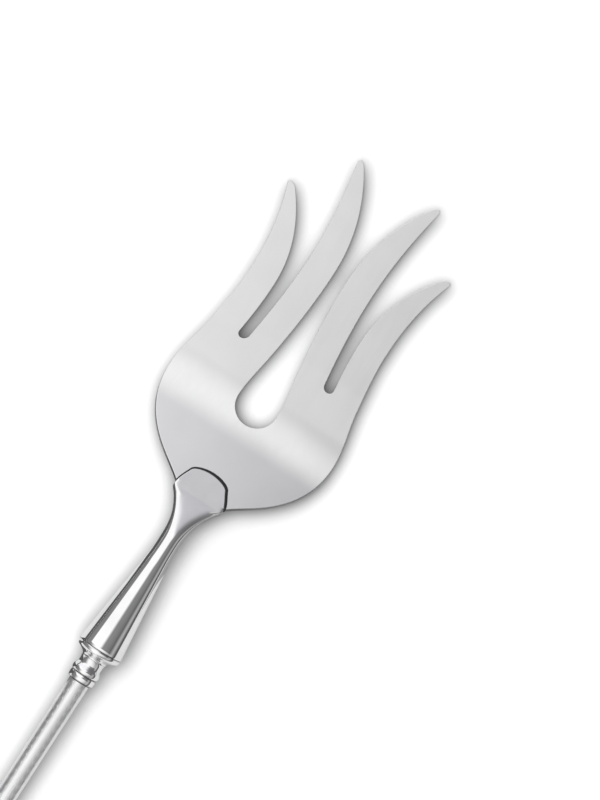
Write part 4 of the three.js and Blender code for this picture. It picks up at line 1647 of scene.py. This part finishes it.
@dataclass(frozen=True)
class Handle:
    """Hollow handle: two stamped half shells, soldered along the sides, with low rows of beads."""

    knob: TurnedKnob
    length: float = 100.45
    shaft_width: float = 5.8
    shaft_length: float = 40.0
    grip_width: float = 15.2
    grip_thickness: float = 7.4
    butt_rounding: float = 9.0
    seam_half_gap: float = 0.03
    seam_chamfer: float = 0.12
    half_steps: int = 40
    body_rows: int = 89
    butt_rows: int = 24
    bead_line_points: int = 160
    bead_angle: float = math.radians(32)
    bead_pitch: float = 2.5
    bead_length: float = 2.1
    bead_width: float = 1.3
    bead_thickness: float = 0.12
    bead_relief: float = 0.03

    @property
    def start(self) -> float:
        """Station of the open end."""
        return self.knob.handle_station

    @property
    def end(self) -> float:
        """Station of the butt."""
        return self.start + self.length

    @property
    def grip_station(self) -> float:
        """Station where the rounding of the butt starts."""
        return self.end - self.butt_rounding

    def half_sizes(self, station: np.ndarray | float) -> tuple[np.ndarray, np.ndarray]:
        """Size of the handle before its butt is rounded.

        Args:
            station: one station or an array of them.

        Returns:
            Half width and half thickness at each.
        """
        knots = self.start, self.start + self.shaft_length, self.grip_station, self.end
        curves = []
        for shaft, grip in ((self.shaft_width, self.grip_width),
                            (self.knob.shaft_thickness, self.grip_thickness)):
            halves = np.array((shaft, shaft, grip, grip)) / 2
            curves.append(SmoothCurve(*[(knot, half, 0) for knot, half in zip(knots, halves)]))
        width, depth = curves
        return width(station), depth(station)

    def rows(self, margin: float) -> list[tuple[float, float, float]]:
        """Sections along the handle, set in by a margin.

        Args:
            margin: distance in from the outside.

        Returns:
            Station, half width and half thickness of each section, down to a point at the butt.
        """
        end = self.end - margin
        body = np.linspace(self.start, end - self.butt_rounding, self.body_rows + 1)[:-1]
        angle = np.linspace(math.pi / 2, 0, self.butt_rows + 1)
        stations = np.concatenate([body, end - self.butt_rounding * (1 - np.cos(angle))])
        shrink = np.concatenate([np.ones(len(body)), np.sin(angle)])
        width, depth = self.half_sizes(stations)
        return list(zip(stations, (width - margin) * shrink, (depth - margin) * shrink))

    def build_shell(self, side: Side, spine: Spine, material: Material) -> Object:
        """Makes one half shell with its inner wall and its seam.

        Args:
            side: front or back.
            spine: leans it into place.
            material: its finish.

        Returns:
            The piece.
        """
        draft = Draft()
        gap = self.seam_half_gap
        angle = np.linspace(0, math.pi, self.half_steps + 1)
        rings = []
        for outer, inner in zip(self.rows(0), self.rows(self.knob.handle_wall)):
            section = []
            for (station, width, depth), bevel in ((outer, self.seam_chamfer), (inner, 0.0)):
                cut = min(bevel, width / 2)
                across = width * np.cos(angle)
                up = gap + max(depth - gap, 0) * np.sin(angle)
                across[[0, -1]] = width - cut, cut - width
                up[[1, -2]] = np.maximum(up[[1, -2]], gap + cut)
                reach = spine.handle_reach(self.knob.sleeve.mouth_reach, station)
                points = np.column_stack([across, np.full(len(angle), reach), side.value * up])
                section.append(points if not section else points[::-1])
            rings.append(draft.add(np.vstack(section)))
        draft.loft(rings, closed=True)
        half = self.half_steps + 1
        draft.bridge(rings[0][:half], rings[0][:half - 1:-1])
        piece = draft.make(f"handle_{side.name.lower()}_half", spine, material, SHARP_ANGLE)
        return settle(piece, "handle_plate", f"handle_{side.name.lower()}_shell")

    def build_beads(self, side: Side, spine: Spine, recipe: Recipe, material: Material) -> Object:
        """Sets the bead rows on both flanks of one half.

        Args:
            side: front or back.
            spine: leans them into place.
            recipe: sets beads along a line.
            material: their finish.

        Returns:
            The piece, all its beads in one mesh.
        """
        count = self.bead_line_points
        stations = np.linspace(self.start + self.bead_pitch / 2, self.grip_station, count)
        width, depth = self.half_sizes(stations)
        sunk = self.bead_thickness / 2 - self.bead_relief
        cosine, sine = math.cos(self.bead_angle), math.sin(self.bead_angle)
        reach = spine.handle_reach(self.knob.sleeve.mouth_reach, stations)
        lines, outwards = [], []
        for flank in (1, -1):
            facing = np.column_stack([
                flank * sine / width, np.zeros(count), side.value * cosine / depth,
            ])
            facing /= np.linalg.norm(facing, axis=1)[:, None]
            surface = np.column_stack([flank * width * sine, reach, side.value * depth * cosine])
            lines.append(surface - sunk * facing)
            outwards.append(facing)
        placed = np.vstack(lines)
        edges = [(first + i, first + i + 1) for first in (0, count) for i in range(count - 1)]
        name = f"handle_{side.name.lower()}_beads"
        size = Vector((self.bead_length, self.bead_width, self.bead_thickness)) * MM
        mesh = recipe.grow(name, spine.place(placed) * MM, edges,
                           {"outwards": spine.turn(np.vstack(outwards), placed[:, 1])},
                           Pitch=self.bead_pitch * MM, Size=size, Finish=material)
        return settle(new_piece(name, mesh, material), "handle_plate")


@dataclass(frozen=True)
class ContactShade:
    """Soft dark rim that the fork leaves on the floor close to it, worked out from its plan."""

    handle: Handle
    blur: float = 2.25
    shift: float = 0.4
    head_shift: float = 0.4
    head_strength: float = 0.95
    body_strength: float = 0.74
    head_growth: float = 0.46
    body_growth: float = 0.95
    margin: float = 20.0
    cell: float = 0.5
    blur_reach: float = 4.0
    floor_skip: int = 2

    def half_width(self, reach: np.ndarray) -> np.ndarray:
        """Half width in plan of the sleeve, knob and handle.

        Args:
            reach: an array of reaches.

        Returns:
            The half width at each.
        """
        knob, sleeve = self.handle.knob, self.handle.knob.sleeve
        station = sleeve.mouth_reach - reach
        sizes = sleeve.mouth_diameter, sleeve.mouth_diameter, knob.foot_diameter, knob.bead_diameter
        turned = np.interp(station, (0, knob.band, knob.ring_length, knob.handle_station),
                           np.array(sizes) / 2)
        grip, _ = self.handle.half_sizes(station)
        return np.select([station < 0, station < self.handle.start],
                         [sleeve.half_width(reach), turned], grip)

    def spread(self) -> tuple[np.ndarray, np.ndarray, np.ndarray]:
        """Lays the shade out on a grid.

        Returns:
            Places across, places along as reach, and the light left at each, row by row.
        """
        sleeve = self.handle.knob.sleeve
        across_end = sleeve.head.outer_tip_width / 2 + self.margin
        butt = sleeve.mouth_reach - self.handle.end
        across = np.arange(-across_end, across_end, self.cell)
        along = np.arange(butt - self.margin, sleeve.head.inner_tip_reach + self.margin, self.cell)
        plan = np.stack(np.meshgrid(across, along), axis=-1)
        outline = sleeve.head.outline()
        grown = outline + outward(outline, closed=True) * self.head_growth + (self.head_shift, 0)
        head = enclosed(grown, plan.reshape(-1, 2)).reshape(plan.shape[:2])
        body_half = self.half_width(along) + self.body_growth
        body = np.abs(plan[..., 0]) < body_half[:, None]
        body &= ((along > butt) & (along < 0))[:, None]
        dark = np.maximum(head * self.head_strength, body * self.body_strength)
        blur_end = self.blur_reach * self.blur
        offsets = np.arange(-blur_end, blur_end + self.cell, self.cell)
        kernel = np.exp(-0.5 * (offsets / self.blur) ** 2)
        for axis in (0, 1):
            dark = np.apply_along_axis(np.convolve, axis, dark, kernel / kernel.sum(), "same")
        kept = slice(None, None, self.floor_skip)
        return across[kept] + self.shift, along[kept], 1 - dark[kept, kept]


# Cards on the floor that only mirrors see: colour, and corners as (across, reach).
FLAGS = {
    "black_flag": ("#606060", (
        (-90, -160), (-70, -68), (-21, -61), (-5, -60), (-4.4, -55), (-4.8, -52.6), (-9, -52.4),
        (-15, -51), (-54, -50), (-54, -48), (-50, -44), (-42, -36), (-35, -28), (-13, -20),
        (-6.5, -14), (-5, -10), (-5.5, -6), (-6.2, -3), (-8, 0), (-900, 0), (-900, -160),
    )),
    "grey_flag": ("#B0B0B0", (
        (120, -30), (120, 0), (14, 0), (9, -1), (5.5, -6), (4, -12), (4, -19), (5, -22),
    )),
}
FLAG_HEIGHT = 0.05

# The room that the metal mirrors, in degrees to the right and ahead of straight up.
# Each side of the softbox fades from its dark to its bright angle, which follow the angle ahead.
BOX_SIDES = (
    (((-7, -84), (-1, -5.2), (2, -5.2), (8, -9)), ((-7, 6), (-1, 9.5), (2, 9.5), (8, 6))),
    (((-7, 54), (2, 58.5), (4, 58.5), (12, 70), (20, 76)),
     ((-7, 16), (2, 53.5), (4, 53.5), (12, 65), (20, 71))),
)
BOX_END = (29.6, 17.6)
# Levels of the walls and of the far room by the angle to the right.
WALLS = (
    (-90, 0.12), (-87, 0.12), (-80, 0.24), (-60, 0.24), (7, 0.27), (16, 0.27), (30, 0.24),
    (40, 0.2), (49, 0.14), (57, 0.34), (66, 0.5), (74, 0.26), (81, 0.1), (90, 0.14),
)
FAR_ROOM = ((-21.6, 1.04), (-9.6, 0.87), (8.4, 0.34), (20, 0.2), (40, 0.16))
# The far room takes over between two angles ahead, then brightens, and is slightly cool.
FAR_START, FAR_END = 12.0, 30.0
FAR_RISE = ((30, 1.0), (36, 1.07))
FAR_TINT = (0.98, 0.976, 1.022, 1)


@dataclass(frozen=True)
class Studio:
    """Pale floor, soft light and a camera that looks straight down on the fork's face."""

    axis_angle: float = math.radians(57.15)
    middle_x: float = 8.5
    middle_reach: float = 35.3
    view_height: float = 210.0
    distance: float = 2400.0
    sensor: float = 36.0
    sight: float = 100000.0
    floor_size: float = 16000.0
    floor_colour: str = "#F4F4F4"
    floor_fill: float = 0.36
    floor_mirrored: float = 0.02
    lamp_power: float = 1.9
    lamp_size: float = 500.0
    lamp_distance: float = 900.0
    lamp_lean: float = math.radians(10)
    box_strength: float = 1.14
    box_turn: float = math.radians(20)

    def build(self, spine: Spine, shade: ContactShade) -> None:
        """Makes the floor, the lamp, the world and the camera.

        Args:
            spine: gives the place of the shoulder line.
            shade: the fork's contact shade.
        """
        bpy.context.scene.view_settings.view_transform = "Standard"
        middle = Vector((self.middle_x, spine.shoulder_y + self.middle_reach, 0)) * MM
        self.build_floor(spine, shade)
        for name, (colour, corners) in FLAGS.items():
            self.build_flag(name, colour, corners, spine)
        self.build_world()
        self.build_lamp(middle)
        self.build_camera(middle)

    def build_lamp(self, middle: Vector) -> None:
        """Hangs the softbox, which neither the camera nor the metal sees.

        Args:
            middle: the place that it shines on.
        """
        data = bpy.data.lights.new("softbox", "AREA")
        data.energy, data.size = self.lamp_power, self.lamp_size * MM
        lamp = bpy.data.objects.new("softbox", data)
        towards = Vector((-math.sin(self.lamp_lean), 0, math.cos(self.lamp_lean)))
        lamp.location = middle + towards * self.lamp_distance * MM
        lamp.rotation_mode = "QUATERNION"
        lamp.rotation_quaternion = towards.to_track_quat("Z", "Y")
        lamp.visible_camera = lamp.visible_glossy = False
        bpy.context.scene.collection.objects.link(lamp)

    def build_camera(self, middle: Vector) -> None:
        """Sets the camera above the fork, turned as in the photograph.

        Args:
            middle: the place that it looks at.
        """
        data = bpy.data.cameras.new("photo_camera")
        data.sensor_width = self.sensor
        data.lens = self.sensor * self.distance / self.view_height
        data.clip_end = self.sight * MM
        camera = bpy.data.objects.new("photo_camera", data)
        sine, cosine = math.sin(self.axis_angle), math.cos(self.axis_angle)
        axes = Matrix(((sine, cosine, 0), (-cosine, sine, 0), (0, 0, 1)))
        camera.rotation_mode = "QUATERNION"
        camera.rotation_quaternion = axes.transposed().to_quaternion()
        camera.location = middle + Vector((0, 0, self.distance * MM))
        bpy.context.scene.collection.objects.link(camera)
        bpy.context.scene.camera = camera

    def build_floor(self, spine: Spine, shade: ContactShade) -> None:
        """Makes the floor: matt card, filled to white for the eye, with a close contact shade.

        Args:
            spine: gives the place of the shoulder line.
            shade: the fork's contact shade.
        """
        half = self.floor_size / 2
        across, along, light = shade.spread()
        across = np.concatenate([[-half], across, [half]])
        along = np.concatenate([[-half], along + spine.shoulder_y, [half]])
        flat = np.stack([*np.meshgrid(across, along), np.zeros((len(along), len(across)))], axis=-1)
        number = np.arange(flat[..., 0].size).reshape(flat.shape[:2])
        near, far = number[:-1], number[1:]
        cells = np.stack([near[:, :-1], near[:, 1:], far[:, 1:], far[:, :-1]], axis=-1)
        mesh = bpy.data.meshes.new("floor")
        mesh.from_pydata(flat.reshape(-1, 3) * MM, [], cells.reshape(-1, 4).tolist())
        mark(mesh, "light", np.pad(light, 1, constant_values=1.0).ravel())
        material, tree = new_material("white_card")
        path = add_node(tree, "ShaderNodeLightPath").outputs
        mirrored = calc(tree, "MAXIMUM", path["Is Glossy Ray"], path["Is Transmission Ray"])
        glossy_fill = calc(tree, "MULTIPLY", mirrored, self.floor_mirrored)
        fill = calc(tree, "MULTIPLY_ADD", path["Is Camera Ray"], self.floor_fill, glossy_fill)
        tone = blend(tree, attribute(tree, "light"), BLACK, linear(self.floor_colour))
        card = add_node(tree, "ShaderNodeBsdfDiffuse", {"Color": tone})
        glow = add_node(tree, "ShaderNodeEmission", {"Color": tone, "Strength": fill})
        both = add_node(tree, "ShaderNodeAddShader", {0: card.outputs[0], 1: glow.outputs[0]})
        add_node(tree, "ShaderNodeOutputMaterial", {"Surface": both.outputs[0]})
        new_piece("floor", mesh, material)

    def build_flag(self, name: str, colour: str, corners: tuple[tuple[float, float], ...],
                   spine: Spine) -> None:
        """Lays a card beside the neck or handle, to give the metal a dark rim.

        Args:
            name: name of the card.
            colour: its colour.
            corners: its corners as (across, reach).
            spine: gives the place of the shoulder line.
        """
        mesh = bpy.data.meshes.new(name)
        placed = [(x, spine.shoulder_y + reach, FLAG_HEIGHT) for x, reach in corners]
        mesh.from_pydata(np.array(placed) * MM, [], [tuple(range(len(corners)))])
        material, tree = new_material(name)
        card = add_node(tree, "ShaderNodeBsdfDiffuse", {"Color": linear(colour)})
        add_node(tree, "ShaderNodeOutputMaterial", {"Surface": card.outputs[0]})
        flag = new_piece(name, mesh, material)
        flag.visible_camera = flag.visible_diffuse = flag.visible_shadow = False

    def build_world(self) -> None:
        """Makes the room that the metal mirrors: a feathered softbox in a dim grey studio."""
        world = bpy.data.worlds.new("studio")
        world.use_nodes = True
        bpy.context.scene.world = world
        tree = world.node_tree
        tree.nodes.clear()
        generated = add_node(tree, "ShaderNodeTexCoord").outputs["Generated"]
        parts = add_node(tree, "ShaderNodeSeparateXYZ", {0: generated}).outputs
        right = calc(tree, "MULTIPLY", calc(tree, "ARCTAN2", parts["X"], parts["Z"]), DEGREES)
        ahead = calc(tree, "MULTIPLY", calc(tree, "ARCSINE", parts["Y"]), DEGREES)
        plane = add_node(tree, "ShaderNodeCombineXYZ", {0: right, 1: ahead}).outputs[0]
        sine, cosine = math.sin(self.box_turn), math.cos(self.box_turn)
        sideways, lengthways = (
            add_node(tree, "ShaderNodeVectorMath", {0: plane, 1: axis},
                     operation="DOT_PRODUCT").outputs["Value"]
            for axis in ((-cosine, sine, 0), (sine, cosine, 0))
        )
        edges = [
            (sideways, ramp(tree, ahead, dark), ramp(tree, ahead, bright))
            for dark, bright in BOX_SIDES
        ]
        sides = [
            rescale(tree, *edge, interpolation_type="SMOOTHSTEP")
            for edge in (*edges, (lengthways, *BOX_END))
        ]
        lit = sides[0]
        for side in sides[1:]:
            lit = calc(tree, "MULTIPLY", lit, side)
        far = rescale(tree, ahead, FAR_START, FAR_END, interpolation_type="SMOOTHSTEP")
        far_level = calc(tree, "MULTIPLY", ramp(tree, right, FAR_ROOM), ramp(tree, ahead, FAR_RISE))
        cool = blend(tree, 1.0, far_level, FAR_TINT, blend_type="MULTIPLY")
        room = blend(tree, far, ramp(tree, right, WALLS), cool)
        light = blend(tree, lit, room, (self.box_strength,) * 3 + (1,))
        camera_ray = add_node(tree, "ShaderNodeLightPath").outputs["Is Camera Ray"]
        colour = blend(tree, camera_ray, light, WHITE)
        back = add_node(tree, "ShaderNodeBackground", {"Color": colour, "Strength": 1.0})
        add_node(tree, "ShaderNodeOutputWorld", {"Surface": back.outputs[0]})


def dress_node(name: str, material: Material) -> None:
    """Gives a CAD node that stays in the scene its finish.

    Args:
        name: name of the node.
        material: its finish.
    """
    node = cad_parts[name]
    node.data.materials.clear()
    node.data.materials.append(material)
    log.info("%s: CAD node kept, dressed in %s", name, material.name)


def main() -> None:
    """Builds the pieces in order, dresses the kept nodes and sets up the studio."""
    logging.basicConfig(level=logging.INFO, format="%(message)s")
    head = ForkHead()
    sleeve = NeckSleeve(head)
    knob = TurnedKnob(sleeve)
    handle = Handle(knob)
    tips_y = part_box("fork_head")[1].y / MM
    spine = Spine(shoulder_y=tips_y - head.inner_tip_reach)
    spine = spine.resting(sleeve.mouth_reach, handle.grip_station, handle.grip_thickness)
    stainless, plate, handle_plate = STAINLESS.build(), SILVER_PLATE.build(), HANDLE_PLATE.build()
    head.build(spine, stainless)
    sleeve.build(spine, plate)
    sleeve.build_seam(spine, seam_recipe(), BRAZE.build())
    knob.build(spine, lathe_recipe(), plate)
    beads = bead_recipe()
    for side in Side:
        handle.build_shell(side, spine, handle_plate)
        handle.build_beads(side, spine, beads, handle_plate)
    dress_node("tang_rod", DRAWN_STEEL.build())
    dress_node("handle_filler", CEMENT.build())
    Studio().build(spine, ContactShade(handle))


if __name__ == "__main__":
    main()
